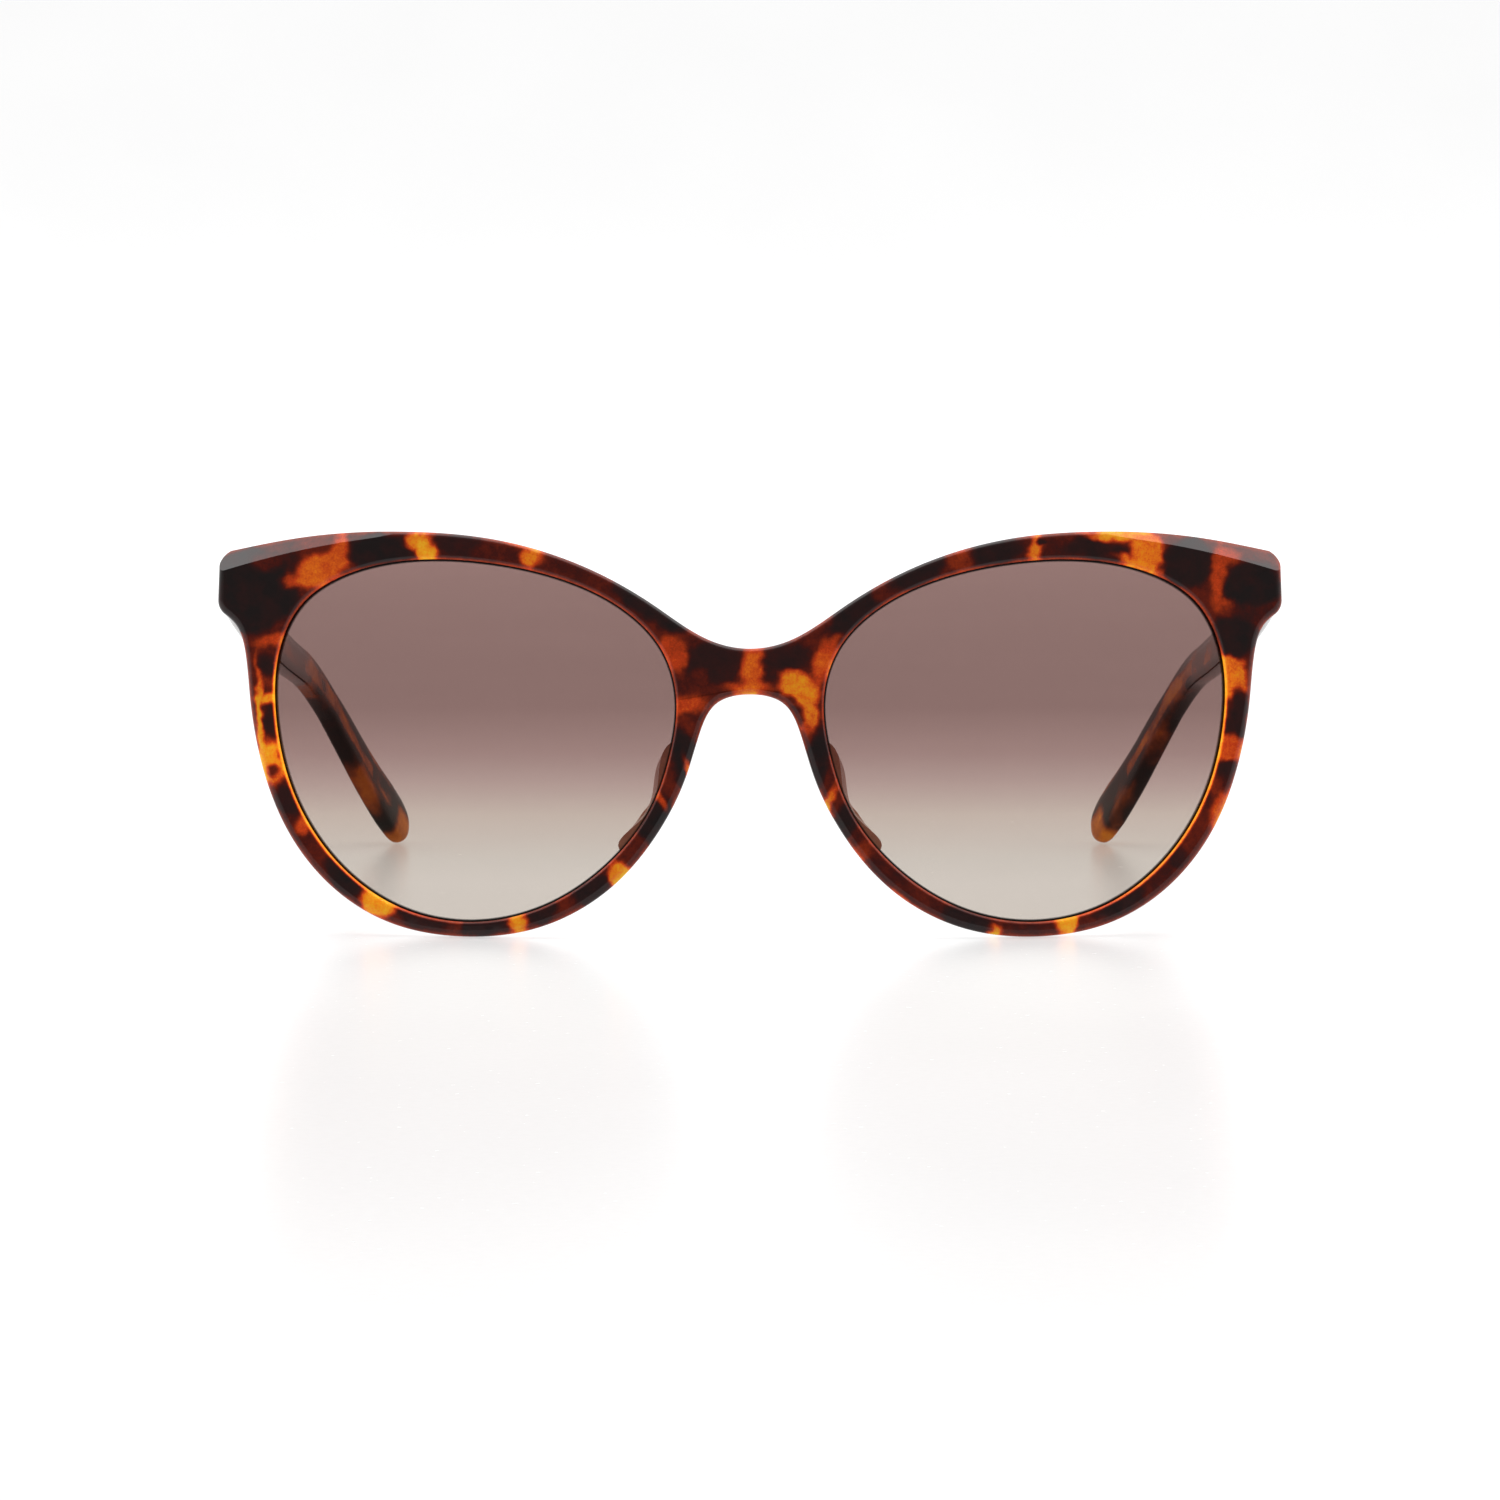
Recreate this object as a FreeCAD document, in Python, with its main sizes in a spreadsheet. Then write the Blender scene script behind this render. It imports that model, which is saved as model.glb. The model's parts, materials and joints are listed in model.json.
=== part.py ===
import FreeCAD, Part
import math
import os

import Sketcher
from FreeCAD import Placement, Rotation, Vector

# Cat eye sunglasses, open and resting on a table on the two rim bottoms and the two temple tips.
# The pieces are modelled with the front standing upright: X to the wearer's left, Y back towards
# the ears, Z up, with the bridge's front face at Y = 0 and the rim bottoms at Z = 0.
# The last step leans the whole assembly back onto the temple tips.
# The wearer's left side (+X) is modelled, and the right side is its mirror image.

SIZES = {
    "face_radius": 250.0,         # the front curves around the face in plan
    "front_thickness": 4.0,
    "front_edge_round": 0.8,
    "aperture_edge_round": 0.4,
    "corner_round": 1.2,          # the end pieces' corners, seen from the front
    "lens_thickness": 2.0,
    "lens_setback": 1.1,          # from the front face to the lens
    "groove_depth": 0.8,
    "lens_clearance": 0.03,
    "end_block_inner": 64.9,      # the thickened end piece behind each hinge corner
    "end_block_bottom": 41.5,
    "end_block_depth": 2.2,
    "butt_plane": 14.4,           # where the end piece stops and the temple starts
    "temple_gap": 0.12,
    "temple_start_side": 68.5,
    "temple_start_height": 46.0,
    "temple_slope": 6.33,         # degrees down from the front's normal
    "temple_shaft": 91.5,         # length along the centre line up to the ear bend
    "temple_bend_radius": 49.0,
    "temple_bend_angle": 37.5,
    "temple_tail": 18.7,          # straight part behind the ear
    "temple_height": 7.4,
    "temple_shaft_height": 5.3,
    "temple_tip_height": 8.8,
    "temple_thickness": 4.0,
    "temple_tip_thickness": 3.2,
    "temple_corner": 1.3,
    "wire_height": 2.4,
    "wire_thickness": 1.1,
    "wire_corner": 0.3,
    "wire_end": 128.5,            # along the temple's centre line
    "pivot_side": 63.0,
    "pivot_back": 14.45,
    "pivot_height": 46.05,
    "knuckle_diameter": 3.2,
    "knuckle_height": 1.16,
    "knuckle_gap": 0.06,
    "front_bore": 1.42,
    "temple_bore": 1.46,
    "screw_diameter": 1.40,
    "screw_head_diameter": 2.4,
    "screw_head_height": 0.7,
    "screw_slot": 0.4,
    "leaf_thickness": 1.1,
    "leaf_height": 4.6,
    "leaf_end": 24.2,
    "rest_lean": 3.25,
    "rest_shift_back": -75.287,
    "rest_lift": 0.362,
}

# Front seen square on, half of each outline: (distance from the middle, height).
BROW = [(0, 37.7), (4.5, 38.5), (12.3, 43.2), (22.1, 48.6), (34.0, 52.1), (45.9, 53.1), (57.9, 52.6),
        (70.2, 50.5)]
UNDER = [(70.5, 43.0), (68.0, 40.9), (66.7, 37.0), (66.1, 31.1), (64.7, 23.2), (61.0, 13.7), (54.5, 5.9),
         (46.4, 1.4), (38.1, 0.0), (28.0, 1.1), (18.1, 6.5), (12.3, 13.2), (8.4, 20.8), (6.6, 26.5),
         (4.5, 30.4), (0, 31.7)]
APERTURE = [(9.6, 30.6), (11.4, 37.3), (16.7, 42.9), (24.4, 46.7), (33.9, 48.9), (43.4, 49.4), (52.3, 47.8),
            (59.0, 43.7), (62.2, 37.2), (62.6, 28.9), (60.4, 19.2), (54.7, 10.0), (46.6, 4.0), (36.8, 1.9),
            (27.1, 3.9), (18.6, 9.5), (12.9, 16.9), (10.4, 24.1)]

# Bevel along the outer brow: (distance from the middle, height of its lower edge, height of the top edge).
FACET = [(44.0, 53.05, 53.1), (50.0, 52.2, 53.1), (56.0, 51.3, 52.9), (61.5, 50.2, 52.1),
         (66.0, 49.1, 51.3), (72.0, 47.4, 50.2)]

# Nose pad outlines from the rim's back face to the pad's free edge: (depth, [(side, height), ...]).
PAD_SECTIONS = [
    (2.5, [(8.4, 25.8), (10.0, 25.6), (12.2, 19.8), (15.0, 14.6),
           (18.1, 10.6), (16.6, 9.8), (12.9, 13.8), (9.4, 20.2)]),
    (7.0, [(9.0, 25.2), (10.3, 25.0), (12.7, 19.7), (15.1, 14.8),
           (17.3, 11.3), (16.2, 10.9), (13.2, 14.3), (10.1, 20.0)]),
    (10.5, [(10.0, 23.8), (11.1, 23.6), (13.1, 19.1), (15.0, 15.0),
            (16.5, 12.4), (15.8, 12.1), (13.6, 14.9), (11.3, 19.4)]),
]

UPRIGHT = Rotation(Vector(1, 0, 0), 90)      # sketch x to the side, sketch y up
FACING_SIDE = Rotation(0.5, 0.5, 0.5, 0.5)   # sketch x back, sketch y up

doc = FreeCAD.newDocument("cat_eye_sunglasses")
sheet = doc.addObject("Spreadsheet::Sheet", "sizes")
for row, (size_name, value) in enumerate(SIZES.items(), start=1):
    sheet.set("A%d" % row, size_name)
    sheet.set("B%d" % row, str(value))
    sheet.setAlias("B%d" % row, size_name)
doc.recompute()


def size(name):
    return float(sheet.get(name))


def bind(target, **expressions):
    """Bind each property to an expression. Double underscores in a name stand for dots."""
    for prop, expression in expressions.items():
        target.setExpression(prop.replace("__", "."), expression)
    return target


def add(kind, name, **properties):
    target = doc.addObject(kind, name)
    for prop, value in properties.items():
        setattr(target, prop, value)
    return target


def cut(name, base, tool):
    return add("Part::Cut", name, Base=base, Tool=tool)


def common(name, base, tool):
    return add("Part::Common", name, Base=base, Tool=tool)


def fuse(name, shapes):
    return add("Part::MultiFuse", name, Shapes=shapes)


def mirror(name, source):
    return add("Part::Mirroring", name, Source=source, Base=Vector(0, 0, 0), Normal=Vector(1, 0, 0))


def cylinder(name, side, back, height_from, radius, height):
    """Upright cylinder; every argument after the name is an expression."""
    post = doc.addObject("Part::Cylinder", name)
    return bind(post, Radius=radius, Height=height, Placement__Base__x=side, Placement__Base__y=back,
                Placement__Base__z=height_from)


def box(name, side, back, bottom, width, depth, height):
    """Box placed by its lowest corner; every argument after the name is an expression."""
    block = doc.addObject("Part::Box", name)
    return bind(block, Length=width, Width=depth, Height=height, Placement__Base__x=side,
                Placement__Base__y=back, Placement__Base__z=bottom)


def spline(points, closed=False):
    curve = Part.BSplineCurve()
    curve.interpolate([Vector(x, y, 0) for x, y in points], PeriodicFlag=closed)
    return curve


def sketch(name, base, rotation, curves):
    drawing = doc.addObject("Sketcher::SketchObject", name)
    drawing.Placement = Placement(base, rotation)
    for curve in curves:
        drawing.addGeometry(curve, False)
    return drawing


def polygon(points):
    corners = [Vector(x, y, 0) for x, y in points]
    return [Part.LineSegment(start, end) for start, end in zip(corners, corners[1:] + corners[:1])]


def extrude_back(name, profile, length):
    return add("Part::Extrusion", name, Base=profile, DirMode="Custom", Dir=Vector(0, 1, 0),
               LengthFwd=length, Solid=True)


def rounded_rectangle(name, placement, width, height, corner):
    """Sketch of a rounded rectangle centred on its origin, with its sizes bound to the sheet."""
    drawing = doc.addObject("Sketcher::SketchObject", name)
    drawing.Placement = placement
    half_width, half_height, radius = 2.0, 3.0, 1.0
    arcs = [(half_width - radius, half_height - radius, 0),
            (radius - half_width, half_height - radius, 90),
            (radius - half_width, radius - half_height, 180),
            (half_width - radius, radius - half_height, 270)]
    for x, y, start in arcs:
        circle = Part.Circle(Vector(x, y, 0), Vector(0, 0, 1), radius)
        drawing.addGeometry(Part.ArcOfCircle(circle, math.radians(start), math.radians(start + 90)), False)
    for x1, y1, x2, y2 in [(1, 3, -1, 3), (-2, 2, -2, -2), (-1, -3, 1, -3), (2, -2, 2, 2)]:
        drawing.addGeometry(Part.LineSegment(Vector(x1, y1, 0), Vector(x2, y2, 0)), False)
    constraint = Sketcher.Constraint
    joins = [constraint("Tangent", arc, 2, arc + 4, 1) for arc in range(4)]
    joins += [constraint("Tangent", arc + 4, 2, (arc + 1) % 4, 1) for arc in range(4)]
    equals = [constraint("Equal", 0, arc) for arc in (1, 2, 3)]
    directions = [constraint("Horizontal", 4), constraint("Vertical", 5), constraint("Horizontal", 6),
                  constraint("Vertical", 7)]
    centring = [constraint("Symmetric", 0, 3, 2, 3, -1, 1)]
    drawing.addConstraint(joins + equals + directions + centring)
    dimensions = [("corner", constraint("Radius", 0, radius), corner),
                  ("width", constraint("DistanceX", 1, 3, 0, 3, 2 * (half_width - radius)),
                   "(%s) - 2 * (%s)" % (width, corner)),
                  ("height", constraint("DistanceY", 2, 3, 1, 3, 2 * (half_height - radius)),
                   "(%s) - 2 * (%s)" % (height, corner))]
    for label, dimension, expression in dimensions:
        index = drawing.addConstraint(dimension)
        drawing.renameConstraint(index, label)
        drawing.setExpression("Constraints." + label, expression)
    return drawing


def edges_where(shape, test):
    """Numbers of the edges whose sampled points all pass the test."""
    chosen = []
    for number, edge in enumerate(shape.Edges, start=1):
        points = edge.discretize(9)
        if all(test(point) for point in points):
            chosen.append(number)
    return chosen


def fillet(name, base, radii):
    """Fillet with a list of (edge number, radius) pairs."""
    doc.recompute()
    rounding = doc.addObject("Part::Fillet", name)
    rounding.Base = base
    rounding.Edges = [(number, radius, radius) for number, radius in radii]
    return rounding


# ---------------------------------------------------------------- front frame

# Outline block: the front's shape seen square on, extruded backwards.
brow_full = [(-x, z) for x, z in reversed(BROW[1:])] + BROW
under_full = UNDER + [(-x, z) for x, z in reversed(UNDER[:-1])]
outline_curves = [spline(brow_full), Part.LineSegment(Vector(*BROW[-1], 0), Vector(*UNDER[0], 0)),
                  spline(under_full), Part.LineSegment(Vector(-UNDER[0][0], UNDER[0][1], 0),
                                                       Vector(-BROW[-1][0], BROW[-1][1], 0))]
outline = sketch("front_outline", Vector(0, -2, 0), UPRIGHT, outline_curves)
outline_block = extrude_back("outline_block", outline, 30)
doc.recompute()


def at_end_corner(point):
    return abs(abs(point.x) - BROW[-1][0]) < 0.5


corner_edges = edges_where(outline_block.Shape, at_end_corner)
corner_edges = [number for number in corner_edges
                if abs(outline_block.Shape.Edges[number - 1].tangentAt(0).y) > 0.99]
outline_rounded = fillet("outline_rounded", outline_block,
                         [(number, size("corner_round")) for number in corner_edges])

# Curved slab between two upright cylinders, thickened behind each end piece.
outer_wall = cylinder("outer_wall", "0 mm", "sizes.face_radius", "-5 mm", "sizes.face_radius", "65 mm")
inner_wall = cylinder("inner_wall", "0 mm", "sizes.face_radius", "-6 mm",
                      "sizes.face_radius - sizes.front_thickness", "67 mm")
slab = cut("slab", outer_wall, inner_wall)
front_blank = common("front_blank", outline_rounded, slab)

# Lens apertures.
aperture_left = sketch("aperture_outline", Vector(0, -2, 0), UPRIGHT, [spline(APERTURE, closed=True)])
aperture_block = extrude_back("aperture_block", aperture_left, 30)
aperture_mirror = mirror("aperture_mirror", aperture_block)
front_open = cut("front_open", front_blank, fuse("apertures", [aperture_block, aperture_mirror]))
doc.recompute()


def face_depth(point):
    """How far a point lies behind the curved front face."""
    radius = size("face_radius")
    return radius - math.hypot(point.x, point.y - radius)


def on_front_face(point):
    return abs(face_depth(point)) < 0.02


def on_back_face(point):
    return abs(face_depth(point) - size("front_thickness")) < 0.02


def near_aperture(point):
    nearest = min(math.hypot(abs(point.x) - x, point.z - z) for x, z in APERTURE_DENSE)
    return nearest < 0.3


APERTURE_DENSE = [(point.x, point.y) for point in spline(APERTURE, closed=True).discretize(400)]
outer_edges = edges_where(front_open.Shape, lambda point: (on_front_face(point) or on_back_face(point))
                          and not near_aperture(point))
inner_edges = edges_where(front_open.Shape, lambda point: (on_front_face(point) or on_back_face(point))
                          and near_aperture(point))
front_round = fillet("front_round", front_open,
                     [(number, size("front_edge_round")) for number in outer_edges]
                     + [(number, size("aperture_edge_round")) for number in inner_edges])
end_block_left = box("end_block_left", "sizes.end_block_inner", "sizes.butt_plane - sizes.end_block_depth",
                     "sizes.end_block_bottom", "8 mm", "sizes.end_block_depth", "15 mm")
end_block_right = mirror("end_block_right", end_block_left)
end_blocks = common("end_blocks", fuse("end_boxes", [end_block_left, end_block_right]), outline_rounded)
front_thick = fuse("front_thick", [front_round, end_blocks])

# Bevel along the outer brow: a wedge whose section grows towards the end piece.
facet_sections = []
for index, (side, low, top) in enumerate(FACET):
    depth = size("face_radius") - math.sqrt(size("face_radius") ** 2 - side ** 2)
    rise = top - low
    lean_back = 1.15 * rise
    points = [(depth - 0.5 * lean_back, low - 0.5 * rise), (depth + 2.2 * lean_back, top + 1.2 * rise),
              (depth - 3.0, top + 1.2 * rise)]
    facet_sections.append(sketch("facet_section_%d" % index, Vector(side, 0, 0), FACING_SIDE,
                                 polygon(points)))
facet_left = add("Part::Loft", "facet_left", Sections=facet_sections, Solid=True, Ruled=False)
facet_right = mirror("facet_right", facet_left)
front_faceted = cut("front_faceted", front_thick, fuse("facets", [facet_left, facet_right]))

# ---------------------------------------------------------------- lenses

def curved_shell(name, nearest, farthest):
    """The space between two depths behind the curved front face."""
    outside = cylinder(name + "_outside", "0 mm", "sizes.face_radius", "-5 mm",
                       "sizes.face_radius - " + nearest, "65 mm")
    inside = cylinder(name + "_inside", "0 mm", "sizes.face_radius", "-6 mm",
                      "sizes.face_radius - " + farthest, "67 mm")
    return cut(name, outside, inside)


def grown_aperture(name, growth):
    """The aperture outline grown outwards by a distance and extruded backwards."""
    outline_curve = spline(APERTURE, closed=True)
    grown = []
    for x, z in APERTURE:
        along = outline_curve.tangent(outline_curve.parameter(Vector(x, z, 0)))[0]
        grown.append((x - growth * along.y, z + growth * along.x))
    profile = sketch(name + "_outline", Vector(0, -2, 0), UPRIGHT, [spline(grown, closed=True)])
    return extrude_back(name, profile, 30)


groove_shell = curved_shell("groove_shell", "(sizes.lens_setback)",
                            "(sizes.lens_setback + sizes.lens_thickness)")
groove_left = common("groove_left", grown_aperture("groove_block", size("groove_depth")), groove_shell)
groove_right = mirror("groove_right", groove_left)
front_grooved = cut("front_grooved", front_faceted, fuse("grooves", [groove_left, groove_right]))
lens_shell = curved_shell("lens_shell", "(sizes.lens_setback + sizes.lens_clearance)",
                          "(sizes.lens_setback + sizes.lens_thickness - sizes.lens_clearance)")
lens_block = grown_aperture("lens_block", size("groove_depth") - size("lens_clearance"))
lens_left = common("lens_left", lens_block, lens_shell)
lens_right = mirror("lens_right", lens_left)

# ---------------------------------------------------------------- hinges

SIDE, BACK, HEIGHT = "sizes.pivot_side", "sizes.pivot_back", "sizes.pivot_height"
STACK = "(5 * sizes.knuckle_height + 4 * sizes.knuckle_gap)"
BOTTOM = "(%s - %s / 2)" % (HEIGHT, STACK)


def knuckle_bottom(index):
    return "%s + %d * (sizes.knuckle_height + sizes.knuckle_gap)" % (BOTTOM, index)


# Front leaf: three knuckles on tangs out of a base block, with an anchor plate cast into the end piece.
LEAF_BACK = "sizes.butt_plane - 3.6"
front_leaf_parts = [
    box("front_leaf_base", SIDE + " - 1.3", LEAF_BACK, BOTTOM, "2.6 mm", "1.6 mm", STACK),
    box("front_leaf_anchor", SIDE, LEAF_BACK, HEIGHT + " - 2.6", "5.3 mm", "1.4 mm", "4.0 mm"),
    box("front_leaf_claw", SIDE + " + 3.9", LEAF_BACK, HEIGHT + " - 2.6", "1.4 mm", "2.6 mm", "4.0 mm"),
]
for index in (0, 2, 4):
    bottom = knuckle_bottom(index)
    front_leaf_parts.append(cylinder("front_knuckle_%d" % index, SIDE, BACK, bottom,
                                     "sizes.knuckle_diameter / 2", "sizes.knuckle_height"))
    front_leaf_parts.append(box("front_tang_%d" % index, SIDE + " - 1.1", LEAF_BACK, bottom,
                                "2.2 mm", "3.65 mm", "sizes.knuckle_height"))
front_bore = cylinder("front_bore_left", SIDE, BACK, BOTTOM + " - 1", "sizes.front_bore / 2",
                      STACK + " + 2")
front_hinge_left = cut("front_hinge_left", fuse("front_leaf", front_leaf_parts), front_bore)
front_hinge_right = mirror("front_hinge_right", front_hinge_left)

# Temple leaf: two knuckles between the front ones, on tangs from a plate cast into the temple.
LEAF_FRONT = "sizes.butt_plane + sizes.temple_gap + 0.6"
PLATE_SIDE = "sizes.temple_start_side - sizes.leaf_thickness / 2"
temple_leaf_parts = [
    box("temple_leaf_plate", PLATE_SIDE, LEAF_FRONT, HEIGHT + " - 0.5 - sizes.leaf_height / 2",
        "sizes.leaf_thickness", "sizes.leaf_end - (%s)" % LEAF_FRONT, "sizes.leaf_height"),
]
for index in (1, 3):
    bottom = knuckle_bottom(index)
    temple_leaf_parts.append(cylinder("temple_knuckle_%d" % index, SIDE, BACK, bottom,
                                      "sizes.knuckle_diameter / 2", "sizes.knuckle_height"))
    temple_leaf_parts.append(box("temple_tang_%d" % index, SIDE, LEAF_FRONT + " - 0.45", bottom,
                                 "%s - %s + 0.2" % (PLATE_SIDE, SIDE), "1.55 mm", "sizes.knuckle_height"))
temple_bore = cylinder("temple_bore_left", SIDE, BACK, BOTTOM, "sizes.temple_bore / 2", STACK)
temple_hinge_left = cut("temple_hinge_left", fuse("temple_leaf", temple_leaf_parts), temple_bore)
temple_hinge_right = mirror("temple_hinge_right", temple_hinge_left)

# Hinge screw, in from the top: plain shank through all five knuckles and a slotted head.
screw_top = "%s + %s" % (BOTTOM, STACK)
screw_shank = cylinder("screw_shank", SIDE, BACK, BOTTOM + " - 0.15", "sizes.screw_diameter / 2",
                       STACK + " + 0.3")
screw_head = cylinder("screw_head", SIDE, BACK, screw_top, "sizes.screw_head_diameter / 2",
                      "sizes.screw_head_height")
screw_slot = box("screw_slot_cut", SIDE + " - 2", BACK + " - sizes.screw_slot / 2",
                 screw_top + " + sizes.screw_head_height / 2", "4 mm", "sizes.screw_slot", "1 mm")
hinge_screw_left = cut("hinge_screw_left", fuse("screw_blank", [screw_shank, screw_head]), screw_slot)
hinge_screw_right = mirror("hinge_screw_right", hinge_screw_left)

hinge_pockets = fuse("hinge_pockets", [front_hinge_left, front_hinge_right])
front_frame = cut("front_frame", front_grooved, hinge_pockets)

# ---------------------------------------------------------------- nose pads

pad_sections = []
for depth, points in PAD_SECTIONS:
    pad_sections.append(sketch("pad_section_%d" % (depth * 10), Vector(0, depth, 0), UPRIGHT,
                               [spline(points, closed=True)]))
pad_loft = add("Part::Loft", "pad_loft", Sections=pad_sections, Solid=True, Ruled=False)
pad_blank = cut("pad_blank", pad_loft, front_round)
nose_pad_left = cut("nose_pad_left", pad_blank, common("pad_front_cut", pad_loft, slab))
nose_pad_right = mirror("nose_pad_right", nose_pad_left)

# ---------------------------------------------------------------- temples

def temple_frame(distance):
    """Centre, tangent and up direction of the temple at a distance along its centre line."""
    shaft = size("temple_shaft")
    bend_radius = size("temple_bend_radius")
    bend = math.radians(size("temple_bend_angle"))
    slope = math.radians(size("temple_slope"))
    total = shaft + bend_radius * bend + size("temple_tail")

    def inward_rate(along):
        """Bows outwards a little at first, then comes in behind the ear."""
        if along < shaft:
            return -0.04 + 0.104 * (along / shaft) ** 1.5
        return 0.064 + 0.386 * (along - shaft) / (total - shaft)

    def drop_angle(along):
        return slope + min(max((along - shaft) / bend_radius, 0), bend)

    steps = 400
    step = distance / steps
    side = size("temple_start_side")
    back = size("butt_plane") + size("temple_gap")
    height = size("temple_start_height")
    for index in range(steps):
        middle = (index + 0.5) * step
        side -= inward_rate(middle) * step
        back += math.cos(drop_angle(middle)) * step
        height -= math.sin(drop_angle(middle)) * step
    angle = drop_angle(distance)
    tangent = Vector(-inward_rate(distance), math.cos(angle), -math.sin(angle)).normalize()
    up = Vector(0, math.sin(angle), math.cos(angle))
    return Vector(side, back, height), tangent, up


def section_placement(distance, square_to_hinge=False):
    """Sketch x sideways, sketch y up, sketch normal against the temple's direction."""
    centre, tangent, up = temple_frame(distance)
    if square_to_hinge:
        tangent, up = Vector(0, 1, 0), Vector(0, 0, 1)
    across = tangent.cross(up)
    return Placement(centre, Rotation(across, up, across.cross(up), "ZXY"))


bend_length = size("temple_bend_radius") * math.radians(size("temple_bend_angle"))
temple_length = size("temple_shaft") + bend_length + size("temple_tail")
# (distance along the centre line, height, thickness) of each section, as expressions.
TEMPLE_SECTIONS = [
    (0, "sizes.temple_height", "sizes.temple_thickness"),
    (12, "sizes.temple_height - 0.4", "sizes.temple_thickness"),
    (32, "sizes.temple_height - 0.9", "sizes.temple_thickness - 0.1"),
    (60, "sizes.temple_shaft_height + 0.7", "sizes.temple_thickness - 0.5"),
    (88, "sizes.temple_shaft_height", "sizes.temple_tip_thickness + 0.1"),
    (100, "sizes.temple_shaft_height", "sizes.temple_tip_thickness"),
    (111, "sizes.temple_shaft_height", "sizes.temple_tip_thickness"),
    (122, "sizes.temple_tip_height - 1.8", "sizes.temple_tip_thickness"),
    (temple_length - 6.5, "sizes.temple_tip_height", "sizes.temple_tip_thickness"),
    (temple_length - 3.4, "sizes.temple_tip_height * 0.97", "sizes.temple_tip_thickness"),
    (temple_length - 1.4, "sizes.temple_tip_height * 0.79", "sizes.temple_tip_thickness * 0.93"),
    (temple_length - 0.4, "sizes.temple_tip_height * 0.56", "sizes.temple_tip_thickness * 0.78"),
    (temple_length, "sizes.temple_tip_height * 0.36", "sizes.temple_tip_thickness * 0.6"),
]
temple_sections = []
for index, (distance, height, thickness) in enumerate(TEMPLE_SECTIONS):
    corner = "sizes.temple_corner" if distance < temple_length - 1 else "sizes.temple_corner * 0.6"
    placement = section_placement(distance, index == 0)
    temple_sections.append(rounded_rectangle("temple_section_%02d" % index, placement, thickness, height,
                                             corner))
temple_blank = add("Part::Loft", "temple_blank", Sections=temple_sections, Solid=True, Ruled=False)

# Flat core wire, brazed to the end of the hinge leaf and running inside the temple.
leaf_length = size("leaf_end") - size("butt_plane") - size("temple_gap")
wire_stations = [leaf_length, 20, 40, 60, 75, 86, 92, 98, 104, 110, 116, 121, size("wire_end")]
wire_sections = []
for index, distance in enumerate(wire_stations):
    placement = section_placement(distance, index == 0)
    if index == 0:
        placement.Base.y = size("leaf_end")
    wire_sections.append(rounded_rectangle("wire_section_%02d" % index, placement, "sizes.wire_thickness",
                                           "sizes.wire_height", "sizes.wire_corner"))
core_wire_left = add("Part::Loft", "core_wire_left", Sections=wire_sections, Solid=True, Ruled=False)
core_wire_right = mirror("core_wire_right", core_wire_left)
temple_left = cut("temple_left", temple_blank, fuse("temple_cavity", [temple_hinge_left, core_wire_left]))
temple_right = mirror("temple_right", temple_left)

# ---------------------------------------------------------------- resting pose, checks and files

NODES = {
    "front_frame": front_frame,
    "lens_left": lens_left,
    "lens_right": lens_right,
    "nose_pad_left": nose_pad_left,
    "nose_pad_right": nose_pad_right,
    "front_hinge_left": front_hinge_left,
    "front_hinge_right": front_hinge_right,
    "hinge_screw_left": hinge_screw_left,
    "hinge_screw_right": hinge_screw_right,
    "temple_hinge_left": temple_hinge_left,
    "temple_hinge_right": temple_hinge_right,
    "core_wire_left": core_wire_left,
    "core_wire_right": core_wire_right,
    "temple_left": temple_left,
    "temple_right": temple_right,
}


def rest_on_table(node_name, source):
    """The finished piece, leaned back and moved with the rest of the assembly."""
    piece = add("Part::Compound", node_name + "_at_rest", Links=[source])
    piece.Label = node_name
    piece.Placement = Placement(Vector(0, 0, 0), Rotation(Vector(-1, 0, 0), 1))
    return bind(piece, Placement__Rotation__Angle="sizes.rest_lean",
                Placement__Base__y="sizes.rest_shift_back", Placement__Base__z="sizes.rest_lift")


doc.recompute()
pieces = []
for node_name, source in NODES.items():
    source.Label = node_name + "_upright"
    pieces.append(rest_on_table(node_name, source))
doc.recompute()

for item in doc.Objects:
    if "Invalid" in item.State or "Error" in item.State:
        raise RuntimeError("%s did not compute" % item.Name)
for piece in pieces:
    if piece.Shape.isNull() or not piece.Shape.isValid() or len(piece.Shape.Solids) != 1:
        raise RuntimeError("%s is not one valid solid" % piece.Label)

os.makedirs("parts", exist_ok=True)
for piece in pieces:
    piece.Shape.Solids[0].exportStep(os.path.join("parts", piece.Label + ".step"))
    print(piece.Label, round(piece.Shape.Volume, 1))
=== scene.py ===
import json
import math

import bmesh
import bpy
import numpy as np
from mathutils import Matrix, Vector, kdtree, noise


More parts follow.
